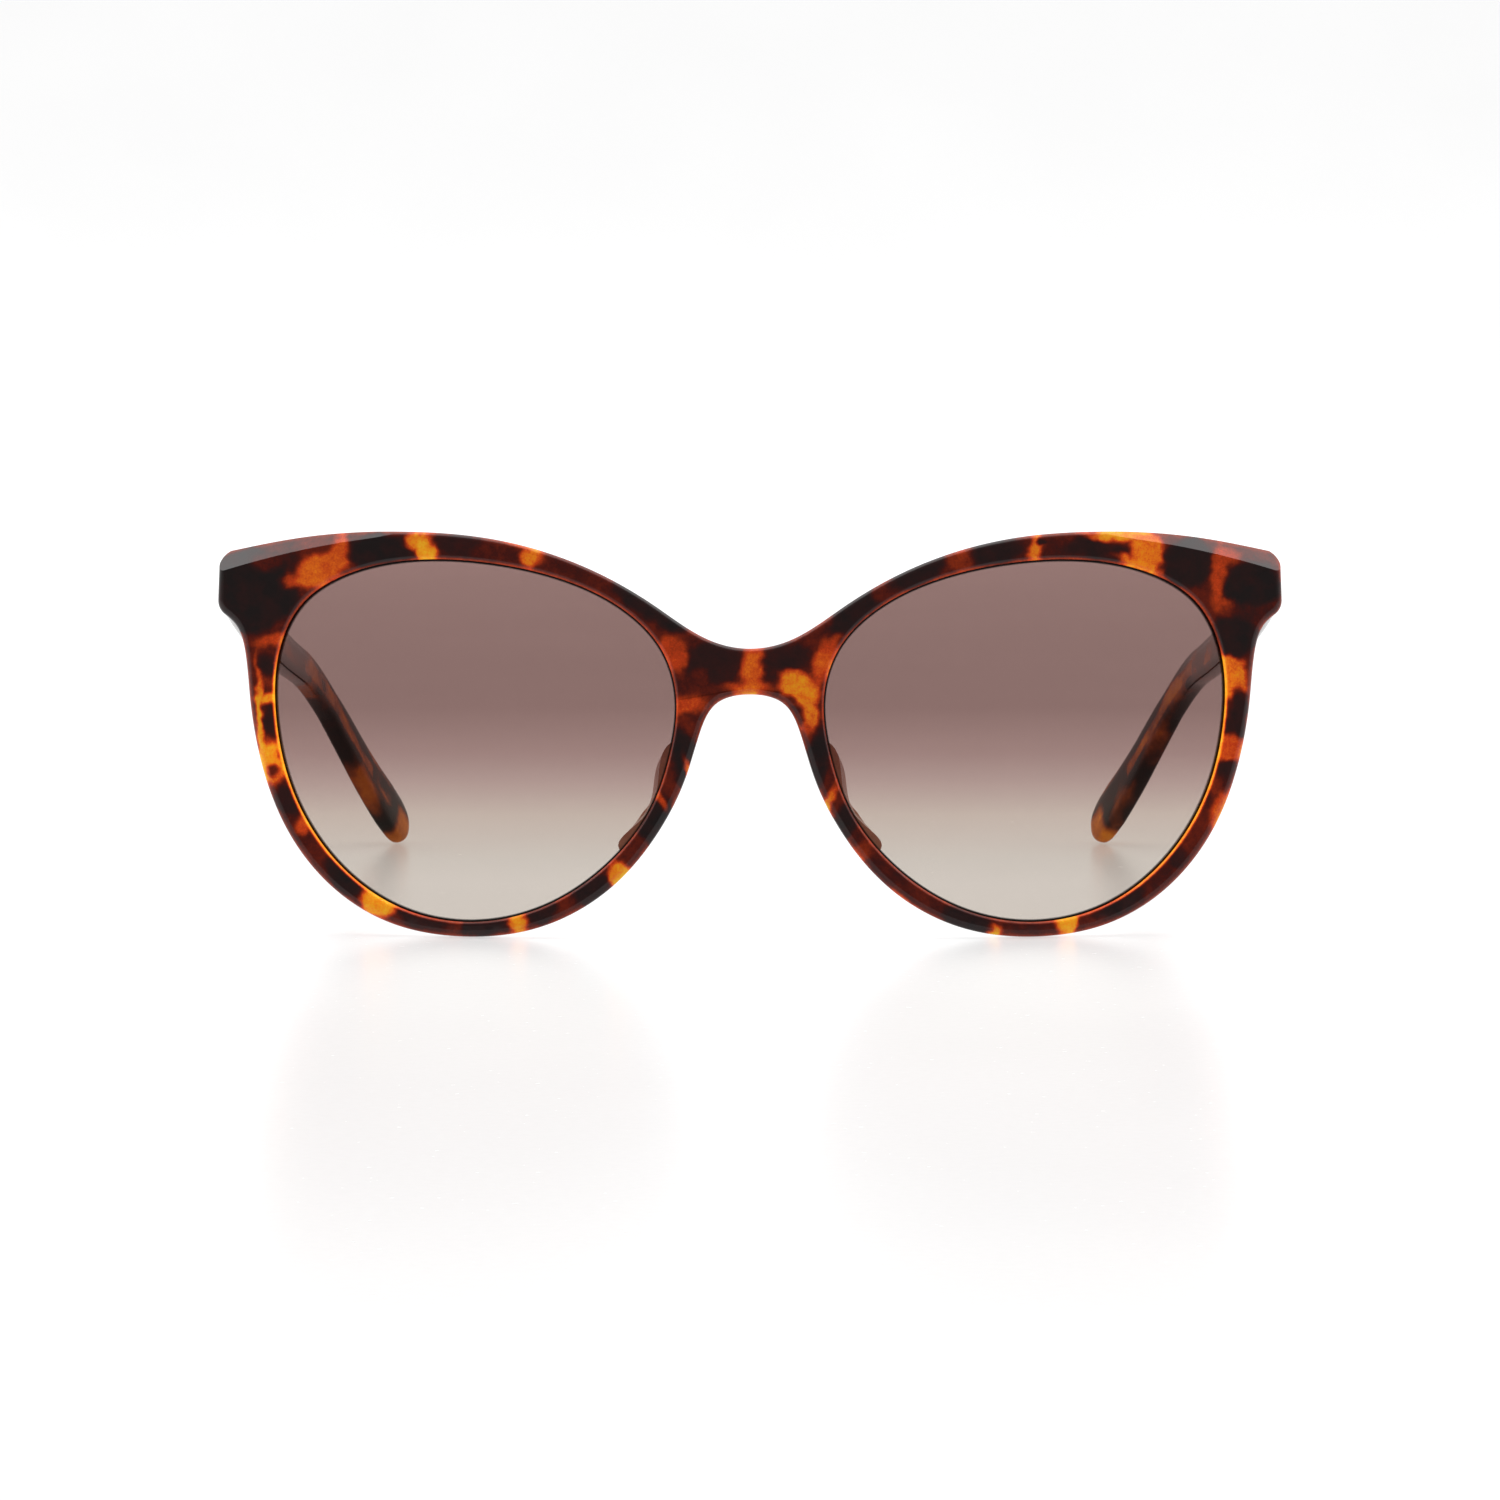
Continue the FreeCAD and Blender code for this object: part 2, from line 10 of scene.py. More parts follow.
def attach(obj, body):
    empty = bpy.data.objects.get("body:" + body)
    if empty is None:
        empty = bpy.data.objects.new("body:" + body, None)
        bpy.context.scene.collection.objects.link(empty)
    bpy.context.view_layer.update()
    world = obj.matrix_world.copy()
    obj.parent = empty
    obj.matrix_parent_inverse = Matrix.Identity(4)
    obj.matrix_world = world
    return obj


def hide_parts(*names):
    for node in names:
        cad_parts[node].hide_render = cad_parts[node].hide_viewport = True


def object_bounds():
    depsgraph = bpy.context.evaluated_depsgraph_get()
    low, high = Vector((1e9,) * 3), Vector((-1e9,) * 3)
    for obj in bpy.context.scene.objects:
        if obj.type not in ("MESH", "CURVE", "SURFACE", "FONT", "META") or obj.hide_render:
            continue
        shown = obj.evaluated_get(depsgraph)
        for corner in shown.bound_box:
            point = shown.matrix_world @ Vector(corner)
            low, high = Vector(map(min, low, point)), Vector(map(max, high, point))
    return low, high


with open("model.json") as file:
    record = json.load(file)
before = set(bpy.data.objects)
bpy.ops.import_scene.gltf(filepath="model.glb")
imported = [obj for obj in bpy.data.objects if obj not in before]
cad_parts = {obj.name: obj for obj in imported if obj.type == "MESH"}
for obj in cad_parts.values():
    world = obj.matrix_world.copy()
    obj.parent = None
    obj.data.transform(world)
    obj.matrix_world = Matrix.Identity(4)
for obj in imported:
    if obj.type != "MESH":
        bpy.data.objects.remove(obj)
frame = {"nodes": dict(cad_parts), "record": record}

# Without a seed, noise_vector takes its offsets from the clock, and the mottling changes at each run.
noise.seed_set(11)

# The looks of a pair of cat eye sunglasses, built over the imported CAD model.
# Sizes in millimetres describe the upright assembly, as in the CAD: X to the wearer's left, Y back, Z up,
# bridge front at Y = 0, rim bottoms at Z = 0. rest() leans it back onto the table and turns it into metres.

START_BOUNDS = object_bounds()
RECORD = frame["record"]

# ---------------------------------------------------------------- upright frame and resting pose

PIVOT = (63.0, 14.45, 46.05)                 # left hinge pivot in the upright frame
left_joint = [joint for joint in RECORD["behaviour"]["joints"] if joint["name"] == "left_temple_fold"][0]
lean = math.atan2(left_joint["axis"][1], left_joint["axis"][2])
rest_turn = np.array([[1, 0, 0], [0, math.cos(lean), math.sin(lean)], [0, -math.sin(lean), math.cos(lean)]])
rest_shift = np.array(left_joint["pos_m"]) - rest_turn @ np.array(PIVOT) / 1000


def rest(points):
    """Upright millimetres to metres in the row frame."""
    return np.asarray(points, float) / 1000 @ rest_turn.T + rest_shift


# ---------------------------------------------------------------- outlines

FACE_RADIUS = 250.0
THICKNESS = 4.0
LENS_FRONT, LENS_BACK = 1.13, 3.07           # lens faces, as depths behind the front face
GROOVE = 0.8                                 # depth of the lens groove in the rim
GROOVE_PLAY = 0.03
BUTT_PLANE = 14.4
TEMPLE_GAP = 0.12

# Front seen square on, half of each outline: (distance from the middle, height).
BROW = [(0, 37.7), (4.5, 38.5), (12.3, 43.2), (22.1, 48.6), (34.0, 52.1), (45.9, 53.1), (57.9, 52.6),
        (70.2, 50.5)]
UNDER = [(70.5, 43.0), (68.0, 40.9), (66.7, 37.0), (66.1, 31.1), (64.7, 23.2), (61.0, 13.7), (54.5, 5.9),
         (46.4, 1.4), (38.1, 0.0), (28.0, 1.1), (18.1, 6.5), (12.3, 13.2), (8.4, 20.8), (6.6, 26.5),
         (4.5, 30.4), (0, 31.7)]
APERTURE = [(9.6, 30.6), (11.4, 37.3), (16.7, 42.9), (24.4, 46.7), (33.9, 48.9), (43.4, 49.4), (52.3, 47.8),
            (59.0, 43.7), (62.2, 37.2), (62.6, 28.9), (60.4, 19.2), (54.7, 10.0), (46.6, 4.0), (36.8, 1.9),
            (27.1, 3.9), (18.6, 9.5), (12.9, 16.9), (10.4, 24.1)]
# Bevel along the outer brow: (distance from the middle, height of its lower edge, height of the top edge).
FACET = [(44.0, 53.05, 53.1), (50.0, 52.2, 53.1), (56.0, 51.3, 52.9), (61.5, 50.2, 52.1),
         (66.0, 49.1, 51.3), (72.0, 47.4, 50.2)]
# Nose pad outlines from inside the rim to the pad's free edge: (depth, [(side, height), ...]).
PAD_SECTIONS = [
    (3.2, [(8.4, 25.8), (10.0, 25.6), (12.1, 19.8), (14.6, 15.0),
           (17.1, 11.4), (16.5, 10.9), (12.9, 14.0), (9.4, 20.2)]),
    (7.0, [(9.0, 25.2), (10.3, 25.0), (12.5, 19.7), (14.5, 15.3),
           (16.2, 12.4), (15.8, 12.1), (13.1, 14.5), (10.1, 20.0)]),
    (10.4, [(10.0, 23.8), (11.1, 23.6), (12.9, 19.1), (14.3, 15.7),
            (15.2, 13.9), (14.9, 13.7), (13.3, 15.4), (11.3, 19.4)]),
]


def spline(points, count, closed=False):
    """Smooth cubic curve through the points, evenly spaced along its length."""
    knots = np.array(points, float)
    if closed:
        knots = np.vstack([knots[-3:], knots, knots[:4]])
    chord = np.concatenate([[0], np.cumsum(np.linalg.norm(np.diff(knots, axis=0), axis=1))])
    size = len(knots)
    step = np.diff(chord)
    matrix = np.zeros((size, size))
    right = np.zeros((size, knots.shape[1]))
    matrix[0, 0] = matrix[-1, -1] = 1
    for row in range(1, size - 1):
        matrix[row, row - 1:row + 2] = step[row - 1], 2 * (step[row - 1] + step[row]), step[row]
        slope_after = (knots[row + 1] - knots[row]) / step[row]
        slope_before = (knots[row] - knots[row - 1]) / step[row - 1]
        right[row] = 6 * (slope_after - slope_before)
    bend = np.linalg.solve(matrix, right)
    first, last = (3, size - 4) if closed else (0, size - 1)
    where = np.linspace(chord[first], chord[last], 40 * count)
    span = np.clip(np.searchsorted(chord, where, side="right") - 1, 0, size - 2)
    width = step[span][:, None]
    before = (where - chord[span])[:, None]
    after = width - before
    fine = (bend[span] * after ** 3 + bend[span + 1] * before ** 3) / (6 * width) \
        + (knots[span] / width - bend[span] * width / 6) * after \
        + (knots[span + 1] / width - bend[span + 1] * width / 6) * before
    return resample(fine, count, closed)


def resample(line, count, closed=False):
    """count points evenly along a polyline. The end of a closed line, which is its start, isn't repeated."""
    along = np.concatenate([[0], np.cumsum(np.linalg.norm(np.diff(line, axis=0), axis=1))])
    targets = np.linspace(0, along[-1], count, endpoint=not closed)
    return np.column_stack([np.interp(targets, along, line[:, axis]) for axis in range(line.shape[1])])


def round_corners(line, radius):
    """Smooths only where a polyline turns sharply."""
    line = line.copy()
    spacing = np.linalg.norm(line[1] - line[0])
    ahead = np.roll(line, -1, axis=0) - line
    heading = np.unwrap(np.arctan2(ahead[:, 1], ahead[:, 0]))
    sharp = np.where(np.abs(np.diff(heading[:-1])) > 0.35)[0] + 1
    reach = int(radius * 1.15 / spacing)
    for corner in sharp:
        low, high = corner - reach, corner + reach
        start, end = line[low].copy(), line[high].copy()
        tip = line[corner].copy()
        weight = np.linspace(0, 1, high - low + 1)[:, None]
        line[low:high + 1] = (1 - weight) ** 2 * start + 2 * weight * (1 - weight) * tip + weight ** 2 * end
    return line


def inward_normals(line):
    """Unit normals to the right of the direction of travel."""
    tangent = np.gradient(line, axis=0)
    tangent /= np.linalg.norm(tangent, axis=1)[:, None]
    return np.column_stack([tangent[:, 1], -tangent[:, 0]])


def face_y(side, depth):
    """Y of a point at this distance from the middle and this depth behind the curved front face."""
    return FACE_RADIUS - np.sqrt((FACE_RADIUS - depth) ** 2 - np.asarray(side) ** 2)


# ---------------------------------------------------------------- mesh building

JOIN_DISTANCE = 1e-7                         # metres


def make_object(name, vertices, faces, material, smooth_angle=40, join=True):
    """A mesh object. join=False keeps the points in their order, for values written to them later."""
    mesh = bpy.data.meshes.new(name)
    mesh.from_pydata([tuple(vertex) for vertex in vertices], [], faces)
    mesh.materials.append(material)
    made = bpy.data.objects.new(name, mesh)
    bpy.context.scene.collection.objects.link(made)
    tidy_mesh(mesh, JOIN_DISTANCE if join else 0)
    shade(mesh, smooth_angle)
    return made


def tidy_mesh(mesh, distance):
    """Joins the parts of a surface where they share points. More distance would join true neighbours too."""
    work = bmesh.new()
    work.from_mesh(mesh)
    if distance:
        bmesh.ops.remove_doubles(work, verts=work.verts, dist=distance)
    bmesh.ops.recalc_face_normals(work, faces=work.faces)
    work.to_mesh(mesh)
    work.free()


def shade(mesh, angle):
    mesh.polygons.foreach_set("use_smooth", [True] * len(mesh.polygons))
    mesh.set_sharp_from_angle(angle=math.radians(angle))
    mesh.update()


def grid_faces(rows, columns, start=0, closed=True):
    """Quads joining a grid of vertices stored row by row; closed joins the last column to the first."""
    faces = []
    last = columns if closed else columns - 1
    for row in range(rows - 1):
        for column in range(last):
            ahead = (column + 1) % columns
            below = start + row * columns
            above = below + columns
            faces.append((below + column, below + ahead, above + ahead, above + column))
    return faces


def mirrored(points):
    return np.asarray(points) * np.array([-1, 1, 1])


# ---------------------------------------------------------------- front frame

def half_outline():
    """The left half of the front's outline, from the top of the bridge round to its underside."""
    brow_full = [(-x, z) for x, z in reversed(BROW[1:])] + BROW
    brow = spline(brow_full, 2801)[1400:]
    under_full = UNDER + [(-x, z) for x, z in reversed(UNDER[:-1])]
    under = spline(under_full, 4401)[:2201]
    side = np.linspace(brow[-1], under[0], 150)
    return round_corners(resample(np.vstack([brow, side[1:-1], under]), 4000), 1.2)


def aperture_at(angles, centre, loop):
    """Points of the aperture loop in the given directions from the centre."""
    loop_angles = np.arctan2(loop[:, 1] - centre[1], loop[:, 0] - centre[0])
    order = np.argsort(loop_angles)
    sorted_angles = loop_angles[order]
    wrapped = np.concatenate([sorted_angles - 2 * math.pi, sorted_angles, sorted_angles + 2 * math.pi])
    tripled = np.vstack([loop[order]] * 3)
    return np.column_stack([np.interp(angles, wrapped, tripled[:, axis]) for axis in range(2)])


OUTER_ROUND = 0.85
INNER_ROUND = 0.45
LENS_CENTRE = (36.4, 26.4)


def half_front(outline_count=740, bridge_count=16, rows=21, back_rows=14):
    """Vertices and faces of the left half of the front, open along the middle plane."""
    outline = half_outline()
    keep = np.linspace(0, len(outline) - 1, outline_count).astype(int)
    outline_normals = inward_normals(outline)
    outline_normals[0] = (0, -1)
    outline_normals[-1] = (0, 1)
    line = outline[keep]
    inward = outline_normals[keep]
    contour = line + inward * OUTER_ROUND
    contour[0, 0] = contour[-1, 0] = 0
    middle = np.linspace(contour[-1], contour[0], bridge_count + 2)[1:-1]
    contour = np.vstack([contour, middle])
    angles = np.unwrap(np.arctan2(contour[:, 1] - LENS_CENTRE[1], contour[:, 0] - LENS_CENTRE[0]))
    loop = spline(APERTURE, 3000, closed=True)
    wrapped_angles = (angles + math.pi) % (2 * math.pi) - math.pi
    inner = aperture_at(wrapped_angles, LENS_CENTRE, loop)
    inner_tangent = np.roll(inner, -1, axis=0) - np.roll(inner, 1, axis=0)
    inner_tangent /= np.linalg.norm(inner_tangent, axis=1)[:, None]
    outward = np.column_stack([-inner_tangent[:, 1], inner_tangent[:, 0]])
    radial = inner - np.array(LENS_CENTRE)
    outward *= np.sign((outward * radial).sum(axis=1))[:, None]
    face_inner = inner + outward * INNER_ROUND

    vertices = []
    faces = []

    def add_loop(points, depth):
        vertices.extend((x, face_y(x, depth), z) for x, z in points)
        return len(vertices) - len(points)

    def add_grid(loops, closed):
        """loops: list of (points, depth); all the same length."""
        start = len(vertices)
        for points, depth in loops:
            add_loop(points, depth)
        faces.extend(grid_faces(len(loops), len(loops[0][0]), start, closed))

    for depth, row_count in ((0.0, rows), (THICKNESS, back_rows)):
        blend = np.linspace(0, 1, row_count)[:, None, None]
        add_grid([(points, depth) for points in contour + (face_inner - contour) * blend], True)

    turns = np.linspace(0, math.pi / 2, 8)
    edge = []
    for turn in turns:
        edge.append((line + inward * OUTER_ROUND * (1 - math.sin(turn)), OUTER_ROUND * (1 - math.cos(turn))))
    for depth in np.linspace(OUTER_ROUND, THICKNESS - OUTER_ROUND, 5)[1:-1]:
        edge.append((line, depth))
    for turn in turns[::-1]:
        edge.append((line + inward * OUTER_ROUND * (1 - math.sin(turn)),
                     THICKNESS - OUTER_ROUND * (1 - math.cos(turn))))
    for points, _ in edge:
        points[0, 0] = points[-1, 0] = 0
    add_grid(edge, False)

    wall = []
    for turn in np.linspace(0, math.pi / 2, 6):
        wall.append((inner + outward * INNER_ROUND * (1 - math.sin(turn)),
                     INNER_ROUND * (1 - math.cos(turn))))
    groove_front = LENS_FRONT - GROOVE_PLAY
    groove_back = LENS_BACK + GROOVE_PLAY
    wall.append((inner, groove_front))
    wall.append((inner + outward * GROOVE, groove_front))
    wall.append((inner + outward * GROOVE, groove_back))
    wall.append((inner, groove_back))
    for turn in np.linspace(math.pi / 2, 0, 6):
        wall.append((inner + outward * INNER_ROUND * (1 - math.sin(turn)),
                     THICKNESS - INNER_ROUND * (1 - math.cos(turn))))
    add_grid(wall, True)
    return np.array(vertices), faces


def prism(section_pairs):
    """Closed solid through sections with the same number of corners."""
    corners = len(section_pairs[0])
    vertices = [corner for section in section_pairs for corner in section]
    faces = grid_faces(len(section_pairs), corners)
    faces.append(tuple(range(corners)))
    faces.append(tuple(range(len(vertices) - corners, len(vertices))))
    return vertices, faces


def facet_cutter(stations=90, across=12):
    """Wedge that planes off the outer brow, in small steps so that the cut face can carry the mottling."""
    sections = []
    for side, low, top in spline(FACET, stations):
        depth = float(face_y(side, 0))
        rise = max(top - low, 0.03)
        back = 1.15 * rise
        start = np.array([side, depth - 0.5 * back, low - 0.5 * rise])
        end = np.array([side, depth + 2.2 * back, top + 1.2 * rise])
        ramp = [tuple(start + (end - start) * share) for share in np.linspace(0, 1, across)]
        sections.append(ramp + [(side, depth - 3.0, top + 1.2 * rise)])
    return prism(sections)


def end_block():
    """The thickened end piece behind the hinge corner, down to the flat that the temple closes against."""
    outline = half_outline()
    inside = outline[(outline[:, 0] > 64.9) & (outline[:, 1] > 41.5)]
    inside = resample(inside, 90)
    inside = np.vstack([inside, [(64.9, 41.5)], [(64.9, inside[0, 1])]])
    centre = inside.mean(axis=0)
    sections = []
    for back, shrink in ((12.2, 0.0), (BUTT_PLANE - 0.35, 0.0), (BUTT_PLANE - 0.1, 0.12), (BUTT_PLANE, 0.35)):
        toward = centre - inside
        toward /= np.linalg.norm(toward, axis=1)[:, None]
        section = inside + toward * shrink
        sections.append([(x, back, z) for x, z in section])
    return prism(sections)


def apply_boolean(target, cutter, operation):
    step = target.modifiers.new("shape", "BOOLEAN")
    step.operation = operation
    step.solver = "MANIFOLD"
    step.object = cutter
    bpy.context.view_layer.update()
    result = bpy.data.meshes.new_from_object(target.evaluated_get(bpy.context.evaluated_depsgraph_get()))
    target.modifiers.clear()
    old = target.data
    target.data = result
    bpy.data.meshes.remove(old)
    old_cutter = cutter.data
    bpy.data.objects.remove(cutter)
    bpy.data.meshes.remove(old_cutter)


def build_front(material):
    vertices, faces = half_front()
    both = np.vstack([vertices, mirrored(vertices)])
    flipped = [tuple(len(vertices) + index for index in reversed(face)) for face in faces]
    front = make_object("front", both / 1000, faces + flipped, material)
    for sign in (1, -1):
        for (points, shape_faces), operation in ((end_block(), "UNION"), (facet_cutter(), "DIFFERENCE")):
            placed = np.array(points) * np.array([sign, 1, 1]) / 1000
            tool = make_object("tool", placed, shape_faces, material)
            apply_boolean(front, tool, operation)
    return front


def finish_front(front, smooth_angle=32):
    mesh = front.data
    tidy_mesh(mesh, JOIN_DISTANCE)
    upright = np.empty(len(mesh.vertices) * 3)
    mesh.vertices.foreach_get("co", upright)
    upright = upright.reshape(-1, 3) * 1000
    mesh.vertices.foreach_set("co", rest(upright).ravel())
    shade(mesh, smooth_angle)
    return upright


# ---------------------------------------------------------------- mottling

# Patches seen from the front: (side, height, half width, half height, turn in degrees, brightness 0 to 1).
# Side is measured towards +X. Later patches cover earlier ones.
PATCHES = [
    # wearer's right: end piece and brow
    (-66, 45.5, 6.5, 5.5, 0, 0.03), (-63.8, 49.2, 2.2, 1.5, 0, 0.22), (-57.0, 48.0, 4.6, 2.1, 20, 0.66),
    (-60.3, 49.5, 0.7, 2.4, 0, 0.16), (-57.5, 51.2, 3.0, 1.0, 5, 0.28), (-53.9, 50.9, 1.2, 2.2, 0, 0.62),
    (-48.6, 50.4, 4.2, 2.2, 0, 0.03), (-43.6, 51.9, 1.9, 1.1, 15, 0.80), (-42.4, 50.2, 1.3, 1.6, 0, 0.90),
    (-38.0, 51.2, 3.4, 1.5, -5, 0.12), (-34.5, 50.0, 2.0, 1.4, 0, 0.22), (-28.6, 49.8, 1.5, 1.4, 0, 0.72),
    (-29.5, 51.0, 2.0, 0.5, -18, 0.50), (-22.0, 47.6, 4.5, 1.2, -25, 0.22),
    (-13.0, 43.2, 5.0, 1.6, -33, 0.03),
    # wearer's right: bridge side and nose
    (-9.8, 37.2, 1.7, 2.6, 15, 0.52), (-4.4, 35.8, 4.0, 2.8, 10, 0.12), (-6.8, 33.0, 1.6, 2.0, 0, 0.26),
    (-8.4, 30.3, 2.6, 1.1, 8, 0.55), (-8.6, 27.6, 1.2, 1.3, 0, 0.30), (-8.3, 23.0, 1.7, 4.4, 12, 0.03),
    (-12.5, 15.5, 2.6, 5.5, 34, 0.03), (-7.9, 21.3, 0.5, 2.4, 18, 0.60), (-12.0, 18.2, 0.45, 1.8, 30, 0.55),
    # wearer's right: round the bottom of the rim
    (-17.0, 8.3, 1.5, 1.7, 40, 0.84), (-20.8, 6.2, 2.7, 1.7, 30, 0.05), (-23.9, 4.7, 1.3, 1.2, 0, 0.30),
    (-27.2, 3.3, 2.1, 1.4, 15, 0.09), (-30.3, 1.9, 1.2, 1.5, 0, 0.86), (-35.2, 1.5, 3.6, 1.4, 0, 0.05),
    (-38.9, 1.4, 1.1, 1.2, 0, 0.30), (-43.3, 2.7, 3.7, 1.6, -18, 0.13), (-49.0, 4.6, 2.6, 1.7, -36, 0.90),
    (-53.3, 8.0, 3.4, 1.7, -46, 0.05), (-56.9, 12.2, 2.0, 1.5, -55, 0.24), (-59.0, 14.6, 1.1, 1.3, -20, 0.55),
    (-60.9, 17.9, 1.9, 2.1, -70, 0.10),
    # wearer's right: up the outer rim
    (-63.1, 23.0, 1.9, 3.0, 0, 0.86), (-61.5, 23.7, 0.8, 1.4, 10, 0.42), (-62.8, 21.4, 0.7, 0.7, 0, 0.32),
    (-62.8, 28.2, 1.25, 2.3, 0, 0.10), (-63.2, 31.2, 1.7, 0.6, 0, 0.84), (-63.2, 33.2, 1.5, 1.0, 0, 0.34),
    (-63.6, 35.5, 1.1, 1.5, 0, 0.10), (-62.0, 36.2, 0.6, 1.8, 0, 0.32), (-63.0, 38.8, 2.6, 0.8, 5, 0.54),
    (-64.5, 27.0, 0.45, 7.5, 3, 0.90),
    # bridge
    (0.5, 35.4, 1.5, 2.4, -10, 0.64), (0.0, 32.6, 2.6, 0.8, 0, 0.70), (4.6, 36.4, 3.3, 2.0, 12, 0.10),
    (2.6, 34.3, 1.1, 0.9, 0, 0.14), (6.4, 32.4, 3.0, 2.0, -35, 0.78), (7.8, 29.3, 1.1, 2.6, 15, 0.74),
    (9.7, 36.2, 1.2, 3.6, -18, 0.60), (10.6, 39.0, 1.0, 1.6, -30, 0.50), (5.2, 31.0, 1.0, 0.5, -35, 0.30),
    # wearer's left: brow
    (13.6, 42.4, 4.2, 1.6, 38, 0.05), (10.0, 41.4, 1.2, 0.7, 35, 0.26), (17.4, 45.3, 1.4, 1.1, 30, 0.25),
    (22.0, 47.7, 3.9, 1.7, 26, 0.06), (27.4, 49.0, 1.4, 1.2, 0, 0.38), (32.2, 50.4, 3.3, 1.7, 12, 0.06),
    (37.3, 50.8, 0.9, 1.9, 0, 0.72), (38.2, 51.7, 0.7, 0.3, 0, 0.05), (40.6, 50.7, 2.0, 1.5, 0, 0.19),
    (44.6, 51.0, 3.2, 1.1, 0, 0.09), (48.6, 52.4, 4.2, 0.7, -3, 0.84), (52.2, 50.6, 2.2, 2.5, 10, 0.74),
    (46.9, 50.1, 2.9, 1.1, 0, 0.08), (51.2, 48.6, 3.2, 0.7, -20, 0.80), (57.8, 49.0, 3.2, 3.4, -20, 0.04),
    # wearer's left: end piece
    (61.7, 47.0, 1.0, 4.0, -4, 0.54), (63.2, 50.0, 1.7, 0.8, 5, 0.52), (66.2, 46.2, 3.8, 3.0, 0, 0.03),
    (62.5, 43.3, 1.3, 0.9, -30, 0.48), (66.0, 42.6, 3.0, 1.0, 0, 0.18), (63.8, 39.4, 3.2, 2.7, 0, 0.04),
    # wearer's left: down the outer rim
    (63.5, 34.0, 2.4, 2.9, 0, 0.74), (64.5, 29.2, 1.1, 3.0, 0, 0.07), (63.0, 27.4, 1.0, 1.2, 0, 0.10),
    (62.9, 24.6, 2.2, 1.8, 0, 0.60), (62.7, 21.8, 1.3, 1.0, 0, 0.10), (61.3, 19.8, 1.0, 1.0, 0, 0.34),
    (61.9, 16.6, 1.0, 2.8, -25, 0.62), (60.0, 18.4, 0.7, 0.8, 0, 0.12), (59.0, 12.8, 1.5, 2.4, -35, 0.28),
    (56.2, 10.2, 1.4, 1.2, 0, 0.12), (53.4, 7.8, 1.9, 1.2, 45, 0.22), (48.6, 4.6, 3.2, 1.6, 30, 0.05),
    (41.6, 1.9, 1.5, 1.7, 0, 0.92), (36.6, 1.3, 3.0, 1.2, 0, 0.23), (32.0, 0.8, 0.9, 0.9, 0, 0.86),
    (28.4, 2.3, 3.2, 1.7, -12, 0.05), (22.4, 4.9, 2.6, 1.4, -28, 0.24), (20.6, 4.6, 2.2, 0.4, -34, 0.46),
    (17.6, 8.2, 1.9, 1.5, -40, 0.20), (14.8, 11.4, 0.9, 1.6, -35, 0.40), (12.2, 14.8, 1.5, 3.6, -30, 0.05),
    (10.2, 17.6, 0.5, 2.3, -25, 0.74), (8.9, 23.6, 1.6, 4.0, -12, 0.04), (7.4, 27.2, 0.6, 1.0, 0, 0.55),
]
RESTING_TONE = 0.25
PATCH_EDGE = 1.0                             # millimetres over which a patch fades out
SOFTEST_PATCH = 1.3                          # the most that a small patch fades, as a share of its size
# Shifts of the patch edges: waves per millimetre, strength in millimetres, seed
BROAD_WOBBLE = (0.38, 0.55, 3.1)
FINE_WOBBLE = (1.15, 0.3, 7.7)


def smooth_step(value):
    value = np.clip(value, 0, 1)
    return value * value * (3 - 2 * value)


def wobble(points, scale, strength, seed):
    """Small random shifts, so that patch edges aren't exact ellipses."""
    shifts = np.empty((len(points), 2))
    for index, (side, height) in enumerate(points):
        place = Vector((side * scale, height * scale, seed))
        shift = noise.noise_vector(place)
        shifts[index] = shift.x, shift.y
    return points + shifts * strength


def patch_tone(upright):
    """Brightness of the mottling at points of the front, in upright millimetres."""
    points = wobble(upright[:, [0, 2]], *BROAD_WOBBLE)
    points = wobble(points, *FINE_WOBBLE)
    tone = np.full(len(points), RESTING_TONE)
    for side, height, half_width, half_height, turn, value in PATCHES:
        angle = math.radians(turn)
        across = points[:, 0] - side
        above = points[:, 1] - height
        along = (across * math.cos(angle) + above * math.sin(angle)) / half_width
        over = (above * math.cos(angle) - across * math.sin(angle)) / half_height
        distance = np.sqrt(along ** 2 + over ** 2)
        softness = min(PATCH_EDGE / min(half_width, half_height), SOFTEST_PATCH)
        cover = smooth_step((1 + softness / 2 - distance) / softness)
        tone += (value - tone) * cover
    return tone


def edge_glow(upright):
    """Masks, 0 to 1, for painted light where light gets out of the plastic: along the outer edge, and on the
    rim's inner wall.
    """
    outline = half_outline()
    tree = kdtree.KDTree(len(outline))
    for index, (side, height) in enumerate(outline):
        tree.insert((side, height, 0), index)
    tree.balance()
    side = np.abs(upright[:, 0])
    height = upright[:, 2]
    to_edge = np.array([tree.find((x, z, 0))[2] for x, z in zip(side, height)])
    loop = spline(APERTURE, 3000, closed=True)
    centre = np.array(LENS_CENTRE)
    offset = np.column_stack([side, height]) - centre
    nearest = aperture_at(np.arctan2(offset[:, 1], offset[:, 0]), centre, loop) - centre
    to_wall = np.linalg.norm(offset, axis=1) - np.linalg.norm(nearest, axis=1)
    edge = smooth_step((0.55 - to_edge) / 0.5)
    wall = smooth_step((0.42 - to_wall) / 0.4)
    # The painted glow on the wall is strongest on the outer side of each rim, below the end piece.
    outer_side = smooth_step((side - 34) / 22) * smooth_step((41 - height) / 8)
    return edge, wall * (0.32 + 0.68 * outer_side)


def lit_tone(tone, edge, wall):
    """Mottling made paler with painted light where light gets out of the plastic."""
    tone = tone + 0.20 * edge * smooth_step((tone - 0.08) / 0.25)
    tone += (0.93 - tone) * wall * 0.85
    return np.clip(tone, 0, 1)


def write_tone(target, name, values):
    attribute = target.data.attributes.new(name, "FLOAT", "POINT")
    attribute.data.foreach_set("value", np.asarray(values, np.float32))


# ---------------------------------------------------------------- materials

